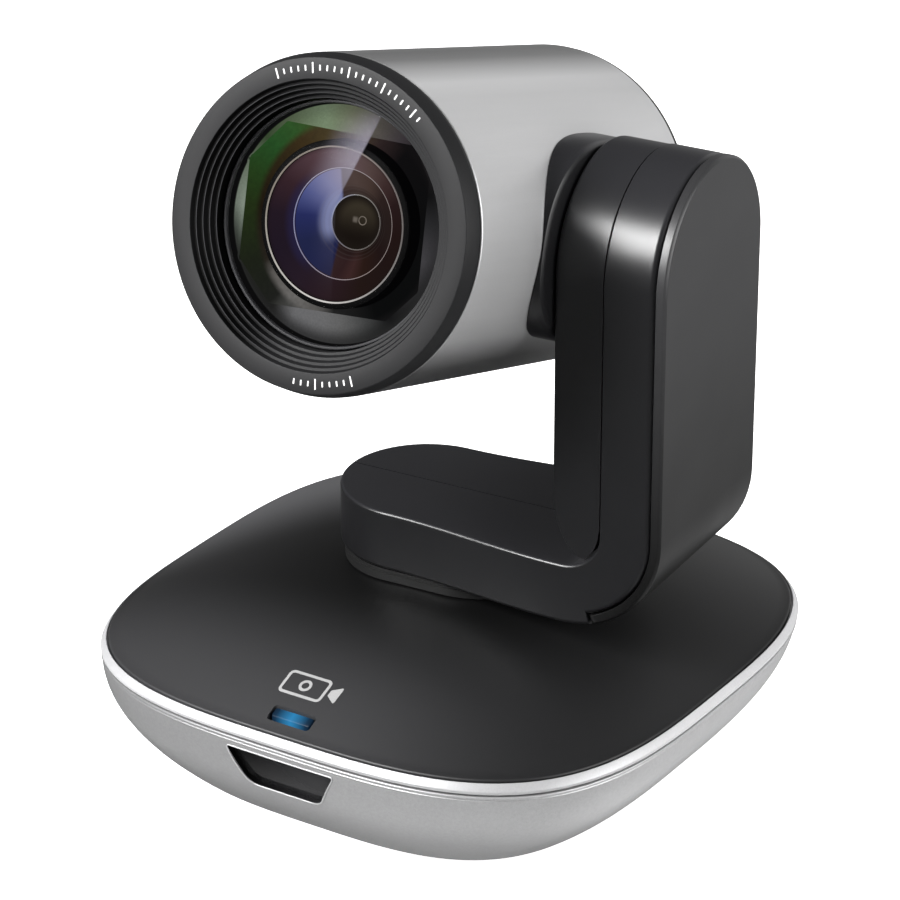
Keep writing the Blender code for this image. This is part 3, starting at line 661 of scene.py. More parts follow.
def indicator_finish():
    """Blue light guide, brightest along its middle."""
    n = Nodes("indicator_blue")
    share = n.math("DIVIDE", n.math("ABSOLUTE", n.axes()["X"]), GUIDE_HALF * MM)
    glow = n.ramp(share, [(0.0, (0.024, 0.225, 0.47)), (0.43, (0.016, 0.115, 0.24)),
                          (0.78, (0.005, 0.022, 0.05)), (1.0, (0.002, 0.007, 0.016))])
    n.set(Base_Color=(0.002, 0.006, 0.012), Emission_Color=glow, Emission_Strength=1.0,
          Roughness=0.4, Specular_IOR_Level=0.1)
    n.bump(n.noise(2500.0), 0.05, FAINT_BUMP)
    return n.material


def element_glass():
    """The moving lens groups: tinted coated glass."""
    n = Nodes("element_glass")
    n.set(Base_Color=n.ramp(n.noise(60.0), [(0.3, (0.03, 0.04, 0.08)), (0.7, (0.05, 0.05, 0.09))]),
          Roughness=0.05, Coat_Weight=0.5, Coat_Roughness=0.03)
    return n.material


def cover_finish():
    """Charcoal cover with painted reflections: darkest round the foot, lighter towards its edges.
    """
    n = Nodes("charcoal_cover")
    x, y, _ = n.axes()
    fine = n.noise(PLASTIC_GRAIN, 3.0)
    reach = n.math("SQRT", n.total(n.product(x, x), n.product(y, y)))
    edge = n.remap(reach, 0.018, 0.062)
    left = n.remap(n.math("SUBTRACT", y, x), 0.030, 0.085)
    front = n.product(n.remap(y, -0.022, -0.055), n.remap(x, 0.055, 0.0))
    # painted reflections: lighter at the edges, to the left and at the front
    level = n.total(n.product(edge, 0.008), n.product(left, 0.058), n.product(front, 0.022), 0.0015)
    grained = n.ramp(fine, [(0.3, (0.86, 0.86, 0.90)), (0.7, (1.10, 1.10, 1.16))])
    n.set(Base_Color=n.tint(level, grained), Roughness=0.46, Specular_IOR_Level=0.42)
    n.bump(fine, 0.35, FINE_BUMP)
    return n.material


def side_finish():
    """Black skin of the upright, with painted light: a little lighter towards its top."""
    n = Nodes("black_side")
    fine = n.noise(PLASTIC_GRAIN, 3.0)
    # painted light: the base colour rises from bottom to top
    level = n.remap(n.axes()["Z"], 0.050, 0.130, 0.001, 0.024)
    grained = n.ramp(fine, [(0.3, (0.86, 0.86, 0.90)), (0.7, (1.12, 1.12, 1.18))])
    n.set(Base_Color=n.tint(level, grained),
          Roughness=n.remap(n.noise(45.0), 0.25, 0.75, 0.36, 0.42))
    n.bump(fine, 0.35, 0.000012)
    return n.material


def printed_ink(name, level):
    n = Nodes(name)
    n.set(Base_Color=n.greys(n.noise(4000.0), [(0.3, level * 0.95), (0.7, level * 1.05)]),
          Roughness=0.5, Specular_IOR_Level=0.3)
    return n.material


finishes.update({
    "barrel": barrel_finish(), "gloss": gloss_finish(), "blue": indicator_finish(),
    "ink": printed_ink("mark_ink", 0.62), "sign": printed_ink("sign_ink", 0.34),
    "cover": cover_finish(), "side": side_finish(), "glass": element_glass(),
})

CAD_FINISHES = {
    "steel": ("bottom_plate", "usb_port", "pan_chassis", "pan_motor", "arm_frame", "pan_spindle",
              "tilt_motor", "idler_pin", "guide_rod_left", "guide_rod_right", "zoom_motor",
              "focus_motor", "lens_bracket", "tilt_hub", "base_screw_1", "base_screw_2",
              "base_screw_3", "base_screw_4"),
    "brass": ("tripod_insert", "pan_pinion", "tilt_pinion", "zoom_leadscrew", "focus_leadscrew"),
    "bronze": ("pan_bearing", "tilt_bearing"),
    "nylon": ("pan_gear", "tilt_gear", "idler_gear"),
    "circuit": ("main_board", "indicator_board", "sensor_board", "video_board"),
    "black_plastic": ("power_jack", "ir_receiver", "lens_chassis", "lens_front_housing",
                      "zoom_carriage", "focus_carriage", "lens_baffle", "rear_cap", "foot_plinth"),
    "black_satin": ("tilt_saddle", "arm_shell", "foot_lid", "arm_side_cover", "arm_inner_cover"),
    "charcoal_satin": ("top_cover", "bezel"),
    "gloss": ("ir_window", "image_sensor"),
    "blue": ("indicator_window",),
    "silver_paint": ("lower_housing",),
    "bright_trim": ("rim_trim", "window_ring"),
    "barrel": ("head_barrel",),
    "rubber": ("rubber_ring",),
    "glass": ("zoom_lens", "focus_lens"),
}


def dress_cad():
    """Give every carried-over CAD node a procedural finish."""
    for key, names in CAD_FINISHES.items():
        for name in names:
            materials = frame["nodes"][name].data.materials
            materials.clear()
            materials.append(finishes[key])


# ------------------------------------------------------------------ base

WINDOW_X = 0.7
WINDOW_TOP = 23.0
WINDOW_LOW = 14.8
WINDOW_HALF_TOP = 12.8
WINDOW_HALF_LOW = 8.2


def window_outline(grow=0.0):
    """The infrared window as (x, z): a trapezoid with round lower corners."""
    top, low = WINDOW_TOP + grow, WINDOW_LOW - grow
    wide, narrow = WINDOW_HALF_TOP + grow, WINDOW_HALF_LOW + grow
    return fillet([(-wide, top, 0.5), (-narrow, low, 3.4), (narrow, low, 3.4), (wide, top, 0.5)], 8)


def window_half(z):
    """Half width of the infrared window at a height."""
    points = window_outline()
    best = 0.0
    for (x0, z0), (x1, z1) in zip(points, points[1:] + points[:1]):
        if x0 > 0 and x1 > 0 and min(z0, z1) <= z <= max(z0, z1) and z0 != z1:
            best = max(best, x0 + (x1 - x0) * (z - z0) / (z1 - z0))
    return best


def build_housing():
    """The bowl: a stepped lip, a curved wall, a floor with an opening, ports and the window."""
    outer = [(64.85, LIP_TOP, 0.2), (64.85, 24.75, 0.2), (64.55, 24.6, 0.1)]
    levels = [24.4 - 22.0 * step / 16 for step in range(17)]
    outer += [(bowl_half(z), z) for z in levels]
    outer += [(bowl_half(FLOOR_Z) - 0.8, FLOOR_Z, 1.4), (OPENING_HALF, FLOOR_Z, 0.2),
              (OPENING_HALF, 3.0, 0.2), (bowl_half(3.0) - 4.0, 3.0)]
    outer += [(bowl_half(z) - 2.2, z) for z in (6.0, 11.0, 17.5)]
    outer.append((bowl_half(LIP_TOP) - 2.2, LIP_TOP))
    profile = fillet(outer, 3)
    rings = []
    for half, z in profile:
        forward = BOWL_FORWARD * bowl_depth(z) if half > OPENING_HALF + 0.5 else 0.0
        rings.append(ring_at(half, z, shift=-forward))
    bowl = mesh_object("bowl", *skin(rings, closed=True))
    opening = [(z, x + WINDOW_X) for x, z in window_outline(0.25)]
    combine(bowl, prism("window_tool", opening, -75.0, -50.0, axis="Y"))
    for low, high, radius in (((8.4, -16.6), (20.4, -3.4), 1.2), ((8.4, 5.4), (20.4, 15.6), 1.2),
                              ((11.5, 26.0), (14.7, 33.0), 0.7)):
        combine(bowl, prism("port_tool", rounded_box(low, high, radius), 50.0, 75.0, axis="Y"))
    for x, y in SCREW_PLACES:
        seat = [(0.0, 0.0), (3.1, 0.0), (3.1, 2.2), (0.0, 2.2)]
        combine(bowl, turned("seat_tool", seat, BASE, "Z", 40, (x, y, 0.0)))
    install(settle(bowl), finishes["silver_paint"], "base", "silver_paint", "lower_housing")
    install(tube_along("window_lip", window_lip_points(), 0.16), finishes["bright_trim"], "base",
            "bright_trim")


def window_lip_points():
    """The window's edge where it meets the bowl's wall."""
    outline = window_outline(0.25)
    points = []
    for index, start in enumerate(outline):
        end = outline[(index + 1) % len(outline)]
        parts = max(1, round(math.dist(start, end) / 0.8))
        for part in range(parts):
            x = start[0] + (end[0] - start[0]) * part / parts
            z = start[1] + (end[1] - start[1]) * part / parts
            points.append((x + WINDOW_X, bowl_front(x + WINDOW_X, z) - 0.02, z))
    return points


def build_window():
    """The infrared pane, sunk behind the wall and following its slope."""
    rows, columns = 16, 20
    front, back = [], []
    for row in range(rows + 1):
        z = WINDOW_LOW + 0.02 + (WINDOW_TOP - WINDOW_LOW - 0.04) * row / rows
        half = window_half(z)
        for column in range(columns + 1):
            x = WINDOW_X - half + 2 * half * column / columns
            front.append((x, bowl_front(x, z) + 1.3, z))
            back.append((x, bowl_front(x, z) + 2.8, z))
    faces = []
    stride = columns + 1
    total = len(front)
    for row in range(rows):
        for column in range(columns):
            a = row * stride + column
            quad = (a, a + 1, a + stride + 1, a + stride)
            faces.append(quad)
            faces.append(tuple(index + total for index in reversed(quad)))
    rim = list(range(stride))
    rim += [row * stride + columns for row in range(1, rows + 1)]
    rim += [rows * stride + column for column in range(columns - 1, -1, -1)]
    rim += [row * stride for row in range(rows - 1, 0, -1)]
    for index, first in enumerate(rim):
        second = rim[(index + 1) % len(rim)]
        faces.append((first, first + total, second + total, second))
    pane = mesh_object("infrared_pane", front + back, faces)
    install(pane, finishes["gloss"], "base", "black_gloss", "ir_window")
    rings = []
    for grow, sink in ((0.22, 0.12), (-0.05, 0.30), (-0.05, 2.8), (0.22, 2.8)):
        outline = [(x + WINDOW_X, z) for x, z in window_outline(grow)]
        rings.append([(x, bowl_front(x, z) + sink, z) for x, z in outline])
    install(mesh_object("window_liner", *skin(rings, closed=True)), finishes["gloss"], "base",
            "black_gloss")


def build_trim():
    """The bright bevelled band under the cover's edge."""
    profile = fillet([(63.85, RIM_TOP, 0.15), (64.95, 26.5, 0.4), (64.95, 25.9, 0.3),
                      (64.45, 25.66, 0.1), (61.8, 25.66, 0.1), (61.8, 26.9, 0.1),
                      (63.6, 26.9, 0.1), (63.85, 27.4, 0.1)], 4)
    rings = [ring_at(half, z) for half, z in profile]
    trim = mesh_object("rim_band", *skin(rings, closed=True))
    install(trim, finishes["bright_trim"], "base", "bright_trim", "rim_trim")


def build_cover():
    """The domed cover with its rounded edge and the indicator's slot."""
    edge = 0.5
    hole = COVER_HOLE / COVER_HALF
    last = (COVER_HALF - edge) / COVER_HALF
    shares = [hole + (last - hole) * (step / 30) ** 0.9 for step in range(31)]
    rings = [ring_at(COVER_HALF * s, cover_height(s), cover_power(s)) for s in shares]
    top = cover_height(last)
    rings += [ring_at(COVER_HALF - edge + edge * math.sin(turn), top - edge * (1 - math.cos(turn)))
              for turn in arc(5)[1:]]
    rings += [ring_at(half, RIM_TOP - 1.0) for half in (COVER_HALF, COVER_HALF - 2.0)]
    rings += [ring_at(COVER_HALF * share, cover_height(share) - 2.0, cover_power(share))
              for share in (0.93, 0.84, 0.68, 0.44, hole)]
    cover = mesh_object("dome_cover", *skin(rings, closed=True), sharp_deg=40)
    slot = rounded_box((-5.1, -61.0), (5.1, -57.4), 0.8)
    combine(cover, prism("slot_tool", slot, 20.0, 34.0))
    install(settle(cover, 40), finishes["cover"], "base", "charcoal_satin", "top_cover")


def build_indicator():
    """The blue light guide at the rear side of its slot."""
    front, rear = -59.8, -57.8
    rings = [[(x, y, 26.6) for x, y in rounded_box((-GUIDE_HALF, front), (GUIDE_HALF, rear), 0.5)]]
    for inset, lift in ((0.0, -0.45), (0.04, -0.3), (0.16, -0.2)):
        half = GUIDE_HALF - inset
        outline = rounded_box((-half, front + inset), (half, rear - inset), 0.5 - inset)
        rings.append([on_cover(x, y, lift) for x, y in outline])
    guide = mesh_object("light_guide", *skin(rings), sharp_deg=60)
    install(guide, finishes["blue"], "base", "indicator_blue", "indicator_window")
    well = prism("light_well", rounded_box((-5.6, -61.0), (5.6, -56.7), 0.8), 25.6, 26.4)
    install(well, finishes["black_plastic"], "base", "black_plastic")


def on_cover(x, y, lift=0.04):
    return (x, y, cover_z(x, y) + lift)


def cover_decal(name, outline, hole=None):
    """A flat printed shape that lies on the cover."""
    low = [on_cover(x, y, -0.05) for x, y in outline]
    high = [on_cover(x, y) for x, y in outline]
    if hole is None:
        return mesh_object(name, *skin([low, high]), sharp_deg=60)
    hole_low = [on_cover(x, y, -0.05) for x, y in hole]
    hole_high = [on_cover(x, y) for x, y in hole]
    return mesh_object(name, *skin([low, high, hole_high, hole_low], closed=True), sharp_deg=60)


def ring_points(centre, radius, count=40):
    return [(centre[0] + radius * math.cos(2 * math.pi * step / count),
             centre[1] + radius * math.sin(2 * math.pi * step / count)) for step in range(count)]


def build_pictogram():
    """A plain camera sign on the cover: an outlined body, a lens ring and a viewfinder wedge."""
    y = -51.5
    outer = rounded_box((-7.0, y - 2.9), (3.2, y + 2.9), 1.1, 6)
    inner = rounded_box((-6.4, y - 2.3), (2.6, y + 2.3), 0.6, 6)
    wedge = fillet([(3.9, y - 0.7, 0.2), (6.2, y - 2.2, 0.3), (6.2, y + 2.2, 0.3),
                    (3.9, y + 0.7, 0.2)], 4)
    shapes = [cover_decal("sign_body", outer, inner),
              cover_decal("sign_lens", ring_points((-1.9, y), 1.4), ring_points((-1.9, y), 0.8)),
              cover_decal("sign_wedge", wedge)]
    for shape in shapes:
        install(shape, finishes["sign"], "base", "bright_trim")


def cross_head(at):
    """A screw head with a cross recess, seen from below."""
    x, y = at
    head = fillet([(0.0, 1.15), (2.7, 1.15, 0.35), (2.7, 1.9, 0.1), (1.15, 1.9), (1.15, 11.5, 0.3),
                   (0.0, 11.5)], 4, closed=False)
    name = f"case_screw_{'e' if x > 0 else 'w'}{'n' if y > 0 else 's'}"
    screw = turned(name, head, BASE, "Z", 40, (x, y, 0.0))
    for wide, deep in ((1.7, 0.32), (0.32, 1.7)):
        blade = rounded_box((x - wide, y - deep), (x + wide, y + deep), 0.12, 2)
        combine(screw, prism("blade", blade, 0.5, 1.6))
    return settle(screw)


def build_underside():
    """Rubber ring, steel plate, threaded insert and case screws."""
    pad = fillet([(42.5, 0.0, 0.5), (42.5, 0.95, 0.2), (37.5, 0.95, 0.2), (37.5, 0.0, 0.5)], 4)
    rings = [ring_at(half, z, shift=-3.0) for half, z in pad]
    install(mesh_object("foot_ring", *skin(rings, closed=True)), finishes["rubber"], "base",
            "soft_rubber", "rubber_ring")
    half = OPENING_HALF - 0.4
    flange = fillet([(5.3, FLOOR_Z, 0.3), (half, FLOOR_Z, 0.4), (half, 3.3, 0.1),
                     (5.3, 3.3, 0.1)], 3)
    rings = [ring_at(reach, z, 2.0 if reach < 6 else BASE_POWER) for reach, z in flange]
    base_plate = mesh_object("base_plate", *skin(rings, closed=True))
    install(base_plate, finishes["steel"], "base", "plain_steel", "bottom_plate")
    thread = [(5.0, FLOOR_Z, 0.2), (5.0, 4.9), (6.5, 5.1), (6.5, 6.4)]
    for turn in range(8):
        z = 6.2 - 0.6 * turn
        thread += [(3.35, z), (3.05, z - 0.3)]
    thread.append((3.6, FLOOR_Z))
    insert = turned("thread_insert", fillet(thread, 3), BASE, "Z", 64)
    install(insert, finishes["brass"], "base", "plain_brass", "tripod_insert")
    for index, at in enumerate(SCREW_PLACES):
        install(cross_head(at), finishes["steel"], "base", "plain_steel", f"base_screw_{index + 1}")


def build_ports():
    """USB socket with its tongue and contacts, and the power socket with its pin."""
    outline = rounded_box((8.9, -16.0), (19.9, -4.0), 0.8)
    shell = soft_prism("usb_shell", outline, 42.0, PORT_FACE, 0.2, axis="Y")
    mouth = rounded_box((9.6, -15.3), (19.2, -4.7), 0.6)
    combine(shell, prism("usb_tool", mouth, 44.0, 60.0, axis="Y"))
    install(settle(shell), finishes["steel"], "base", "plain_steel", "usb_port")
    tip = PORT_FACE - 1.4
    outline = rounded_box((12.6, -13.2), (16.2, -6.8), 0.3)
    tongue = soft_prism("usb_tongue", outline, 43.5, tip, 0.15, axis="Y")
    install(weigh(tongue), finishes["black_plastic"], "base", "black_plastic")
    for index in range(4):
        x = -12.2 + 1.47 * index
        outline = rounded_box((12.45, x), (12.6, x + 0.8), 0.05, 1)
        contact = prism(f"usb_contact_{index + 1}", outline, 44.5, PORT_FACE - 2.0, axis="Y")
        install(contact, finishes["brass"], "base", "plain_brass")
    outline = rounded_box((8.9, 6.0), (19.9, 15.0), 0.8)
    jack = soft_prism("power_shell", outline, 42.5, PORT_FACE, 0.2, axis="Y")
    mouth = [(0.0, 44.5), (3.2, 44.5), (3.2, 60.0), (0.0, 60.0)]
    centre = (10.5, 0.0, 14.6)
    combine(jack, turned("mouth_tool", mouth, BASE, "Y", 48, centre))
    install(settle(jack), finishes["black_plastic"], "base", "black_plastic", "power_jack")
    pin = fillet([(0.0, 44.3), (1.05, 44.3), (1.05, tip, 0.4), (0.0, tip)], 3, closed=False)
    install(turned("power_pin", pin, BASE, "Y", 32, centre), finishes["steel"], "base",
            "plain_steel")
    outline = rounded_box((11.0, 25.4), (15.2, 33.6), 0.8)
    install(prism("lock_plate", outline, 48.3, 49.3, axis="Y"), finishes["steel"], "base",
            "plain_steel")


# ------------------------------------------------------------------ arm

def bent(s, y, w):
    """A point of the bent plate: s along it, y across it, w from its inner to its outer side."""
    if s < 0:
        return (CORNER_X + s, y, FOOT_TOP - w)
    if s > BEND:
        return (CORNER_X + INNER_R + w, y, CORNER_Z + s - BEND)
    angle = s / BEND * math.pi / 2
    reach = INNER_R + w
    return (CORNER_X + reach * math.sin(angle), y, CORNER_Z - reach * math.cos(angle))


def smooth(value):
    value = min(max(value, 0.0), 1.0)
    return value * value * (3 - 2 * value)


def top_rows(half, steps=24):
    """The round top, from the widest row to the tip."""
    start = BEND + TILT_Z - CORNER_Z
    rows = [(start + half * math.sin(turn), half * math.cos(turn)) for turn in arc(steps)[:-1]]
    return rows + [(start + half, 0.0)]


def arm_rows(inset=0.0):
    """(s, half width) rows from the foot's end to the round top."""
    end = FOOT_END_X - CORNER_X
    radius = FOOT_END_R - inset
    rows = [(end - radius * math.cos(turn), radius * math.sin(turn)) for turn in arc(20)[:-1]]
    for step in range(16):
        share = step / 16
        rows.append((end * (1 - share), radius + (ARM_HALF - FOOT_END_R) * smooth(share)))
    places = [BEND * step / 16 for step in range(17)]
    places += [SKIN_START - 0.03, SKIN_START + 0.03]
    rows += [(s, ARM_HALF - inset) for s in sorted(places)]
    rows += [(BEND + (TILT_Z - CORNER_Z) * step / 5, ARM_HALF - inset) for step in range(1, 5)]
    return rows + top_rows(ARM_HALF - inset)


def plate(name, rows, levels, put, place=ARM):
    """A plate over (s, half) rows, with (inset, w) levels that may depend on s, bent by put."""
    normals = []
    for index, (s, half) in enumerate(rows):
        before = Vector(rows[max(index - 1, 0)])
        after = Vector(rows[min(index + 1, len(rows) - 1)])
        along = (after - before).normalized()
        normal = Vector((-along.y, along.x))
        if index == 0 or (index == len(rows) - 1):
            normal = Vector((-1.0 if index == 0 else 1.0, 0.0))
        normals.append(normal)
    rings = []
    for level in levels:
        ring = []
        for (s, half), normal in zip(rows, normals):
            inset, w = level(s)
            ring.append((s - normal.x * inset, max(half - normal.y * inset, 0.0), w))
        rings.append(ring)
    vertices, index_of = [], {}
    for number, ring in enumerate(rings):
        for row, (s, half, w) in enumerate(ring):
            for side in (1, -1):
                if half == 0.0 and side == -1:
                    index_of[number, row, side] = index_of[number, row, 1]
                    continue
                index_of[number, row, side] = len(vertices)
                vertices.append(put(s, side * half, w))
    faces = []
    last = len(rings) - 1

    def face(*corners):
        kept = tuple(dict.fromkeys(index_of[corner] for corner in corners))
        if len(kept) > 2:
            faces.append(kept)

    for row in range(len(rows) - 1):
        for number in (0, last):
            face((number, row, 1), (number, row + 1, 1), (number, row + 1, -1), (number, row, -1))
        for number in range(last):
            for side in (1, -1):
                face((number, row, side), (number, row + 1, side), (number + 1, row + 1, side),
                     (number + 1, row, side))
    for number in range(last):
        for row in (0, len(rows) - 1):
            face((number, row, 1), (number, row, -1), (number + 1, row, -1), (number + 1, row, 1))
    return mesh_object(name, vertices, faces, place)


def fixed(levels):
    """Levels that are the same all along a plate."""
    return [lambda s, pair=pair: pair for pair in levels]


def shell_levels(steps=5):
    """Rounded rims: soft along the foot's top, crisp where the pod stands against the shell."""
    soft, crisp, outer_round = 0.75, 0.2, 1.3

    def inner(s, turn):
        radius = soft + (crisp - soft) * smooth((s - 0.75 * BEND) / (0.25 * BEND))
        return (radius * (1 - math.sin(turn)), radius * (1 - math.cos(turn)))

    def outer(s, turn):
        thickness = THICK if s < SKIN_START else SHELL_W
        return (outer_round * (1 - math.cos(turn)), thickness - outer_round * (1 - math.sin(turn)))

    return [lambda s, rim=rim, turn=turn: rim(s, turn)
            for rim in (inner, outer) for turn in arc(steps)]


def build_arm_shell():
    """The L-shaped shell, hollow, with the foot's lid set into it."""
    shell = plate("arm_body", arm_rows(), shell_levels(), bent)
    lid = plate("foot_cap", arm_rows(), shell_levels(), bent)
    cavity = plate("cavity_tool", arm_rows(1.8), fixed([(0.0, 1.8), (0.0, 11.4)]), bent)
    combine(shell, cavity)
    lid_low = FOOT_TOP - 1.8
    region = [(-40.0, -0.12), (33.8, -0.12), (33.8, 40.0), (-40.0, 40.0)]
    combine(shell, prism("lid_tool", region, lid_low, 70.0, ARM))
    floor = [(0.0, 40.0), (7.6, 40.0), (7.6, 48.0), (0.0, 48.0)]
    combine(shell, turned("floor_tool", floor, ARM, "Z", 48))
    region = [(-40.0, 0.12), (33.55, 0.12), (33.55, 40.0), (-40.0, 40.0)]
    combine(lid, prism("lid_block", region, lid_low + 0.2, 70.0, ARM), "INTERSECT")
    install(weigh(settle(shell)), finishes["black_satin"], "arm", "black_satin", "arm_shell")
    install(weigh(settle(lid)), finishes["black_satin"], "arm", "black_satin", "foot_lid")


def build_side_cover():
    """The outer skin of the upright, with a recessed neck and a crisp bevelled edge."""
    corner = 1.2
    start = SKIN_START + 0.1
    rows = [(start + corner * (1 - math.cos(turn)), ARM_HALF - corner + corner * math.sin(turn))
            for turn in arc(5)]
    straight = start + corner
    rows += [(straight + (BEND - start - corner) * step / 14, ARM_HALF) for step in range(1, 15)]
    rows += [(BEND + (TILT_Z - CORNER_Z) * step / 5, ARM_HALF) for step in range(1, 5)]
    rows += top_rows(ARM_HALF)
    levels = [(2.2, 10.2), (2.2, 11.06), (0.1, 11.06), (0.0, 11.16), (0.0, 12.55), (0.06, 12.75),
              (0.45, 13.14), (0.65, THICK)]
    side = plate("outer_skin", rows, fixed(levels), bent)
    install(weigh(side), finishes["side"], "arm", "black_satin", "arm_side_cover")


def pod_outer(z):
    """X of the pod's seam side, which follows the arm's inner corner."""
    if z >= CORNER_Z:
        return SEAM_X
    reach = INNER_R - 0.35
    return CORNER_X + math.sqrt(max(reach * reach - (CORNER_Z - z) ** 2, 0.0)) - 0.05


POD_LOW = CORNER_Z - (INNER_R - 0.35) * math.sin(math.radians(50))


def pod_inner(z):
    """X of the pod's face towards the head, flaring out above the foot."""
    if z >= POD_FLARE_Z:
        return POD_X
    share = (POD_FLARE_Z - z) / (POD_FLARE_Z - POD_LOW)
    flare = pod_outer(POD_LOW) - 0.25 - POD_X
    return POD_X + flare * (1 - math.sqrt(max(1 - share * share, 0.0)))


def pod_point(s, y, w):
    """w is 0 on the seam side and 1 on the face towards the head."""
    z = max(s, POD_LOW)
    return (pod_outer(z) + (pod_inner(z) - pod_outer(z)) * w, y, s)


def build_pod():
    """The inner cover that holds the tilt bearing."""
    drop = POD_FLARE_Z - POD_LOW
    rows = [(POD_LOW + drop * (1 - math.cos(turn)), POD_HALF) for turn in arc(18)]
    rows += [(POD_FLARE_Z + (TILT_Z - POD_FLARE_Z) * step / 4, POD_HALF) for step in range(1, 4)]
    rows += [(TILT_Z + POD_HALF * math.sin(turn), POD_HALF * math.cos(turn))
             for turn in arc(24)[:-1]]
    rows.append((TILT_Z + POD_HALF, 0.0))
    depth = SEAM_X - POD_X
    levels = [(0.2, 0.0), (0.05, 0.06 / depth), (0.0, 0.25 / depth)]
    edge = 0.7
    levels += [(edge * (1 - math.cos(turn)), 1 - edge * (1 - math.sin(turn)) / depth)
               for turn in arc(5)]
    pod = plate("tilt_pod", rows, fixed(levels), pod_point)
    hole = [(0.0, 30.0), (9.5, 30.0), (9.5, 36.0), (0.0, 36.0)]
    combine(pod, turned("pod_tool", hole, ARM, "X", 64, (0.0, 0.0, TILT_Z)))
    install(weigh(settle(pod)), finishes["black_satin"], "arm", "black_satin", "arm_inner_cover")


def build_plinth():
    """The dark step under the foot, shaped to clear the dome while it turns."""
    rings = []
    for inset, z in ((0.0, 44.3), (0.0, 43.75), (0.25, 43.65), (0.25, 43.35), (0.0, 43.25)):
        rings.append([(x, y, z) for x, y in stadium(-FOOT_END_X, FOOT_END_R - 0.9 - inset, 30)])
    for inset in (0.0, 1.5, 4.0, 7.0):
        ring = []
        for x, y in stadium(-FOOT_END_X, FOOT_END_R - 0.9 - inset, 30):
            ring.append((x, y, cover_z(x, y) + 0.4))
        rings.append(ring)
    rings.append([(x, y, 44.3) for x, y in stadium(-FOOT_END_X, FOOT_END_R - 7.9, 30)])
    plinth = mesh_object("foot_step", *skin(rings, closed=True), ARM)
    install(plinth, finishes["black_plastic"], "arm", "black_plastic", "foot_plinth")


# ------------------------------------------------------------------ head

def build_barrel():
    """The satin barrel, its dark rear cap and the shadow line behind the bezel."""
    profile = fillet([(BARREL_R, -51.2, 0.35), (BARREL_R, 41.0, 0.25), (30.9, 41.0, 0.1),
                      (30.9, -51.2, 0.1)], 4)
    barrel = turned("barrel_tube", profile, count=192)
    hole = [(0.0, 20.0), (8.5, 20.0), (8.5, 40.0), (0.0, 40.0)]
    combine(barrel, turned("side_tool", hole, HEAD, "X", 64))
    install(settle(barrel), finishes["barrel"], "head", "barrel_silver", "head_barrel")
    cap = fillet([(0.0, 39.5), (28.0, 39.5), (28.0, 36.0), (30.4, 36.0), (30.4, 41.35),
                  (BARREL_R - 0.15, 41.35, 0.15), (BARREL_R - 0.15, 42.2, 0.6), (31.2, 44.1, 0.9),
                  (27.0, 44.5, 0.4), (26.2, 43.9, 0.3), (25.6, 44.1, 0.3), (0.0, 44.4)], 4,
                 closed=False)
    install(turned("rear_shell", cap, count=160), finishes["black_plastic"], "head",
            "black_plastic", "rear_cap")


def build_bezel():
    """The front ring: a dark chamfer, a flat face and a stair of fine ridges."""
    lip = 30.5
    points = [(lip, -51.5, 0.1), (BARREL_R - 0.05, -51.5, 0.15), (BARREL_R - 0.05, -52.3, 0.3),
              (31.94, BEZEL_FRONT, 0.25), (THROAT_R, BEZEL_FRONT, 0.12)]
    radius, depth = THROAT_R, BEZEL_FRONT
    for _ in range(4):
        radius -= RISER
        depth += 0.95
        points.append((radius, depth, 0.1))
        radius -= TREAD
        points.append((radius, depth, 0.1))
    points += [(radius - 0.1, -47.0, 0.1), (lip, -47.0, 0.1)]
    bezel = turned("front_bezel", fillet(points, 3), count=192)
    install(bezel, bezel_finish(), "head", "charcoal_satin", "bezel")


def mark(name, angle_deg, low, high, width):
    """A printed tick on the bezel's face, at an angle from the top."""
    angle = math.radians(angle_deg)
    out = Vector((math.sin(angle), 0.0, math.cos(angle)))
    side = Vector((math.cos(angle), 0.0, -math.sin(angle)))
    rings = []
    for y in (BEZEL_FRONT + 0.05, BEZEL_FRONT - 0.03):
        rings.append([out * reach + side * offset + Vector((0.0, y, 0.0))
                      for reach, offset in fillet([(low, -width, width), (high, -width, width),
                                                   (high, width, width), (low, width, width)], 3)])
    return mesh_object(name, *skin(rings), HEAD, 60)


def build_marks():
    """A plain zoom scale on the bezel in place of lettering."""
    number = 0
    for first, last, step in ((-25, 41, 3), (-203, -178, 3)):
        for angle in range(first, last, step):
            long_tick = (angle - first) // step % 5 == 0
            low, high = (28.9, 31.0) if long_tick else (29.4, 30.5)
            number += 1
            install(mark(f"scale_tick_{number}", angle, low, high, 0.16), finishes["ink"], "head",
                    "bright_trim")


dress_cad()
build_housing()
build_window()
build_trim()
build_cover()
build_indicator()
build_pictogram()
build_underside()
build_ports()
build_arm_shell()
build_side_cover()
build_pod()
build_plinth()
build_barrel()
build_marks()


# ------------------------------------------------------------------ optics

def tone(red, green, blue):
    """A display colour (0 to 255) as linear light."""
    values = []
    for value in (red, green, blue):
        share = value / 255
        values.append(share / 12.92 if share <= 0.04045 else ((share + 0.055) / 1.055) ** 2.4)
    return tuple(values)


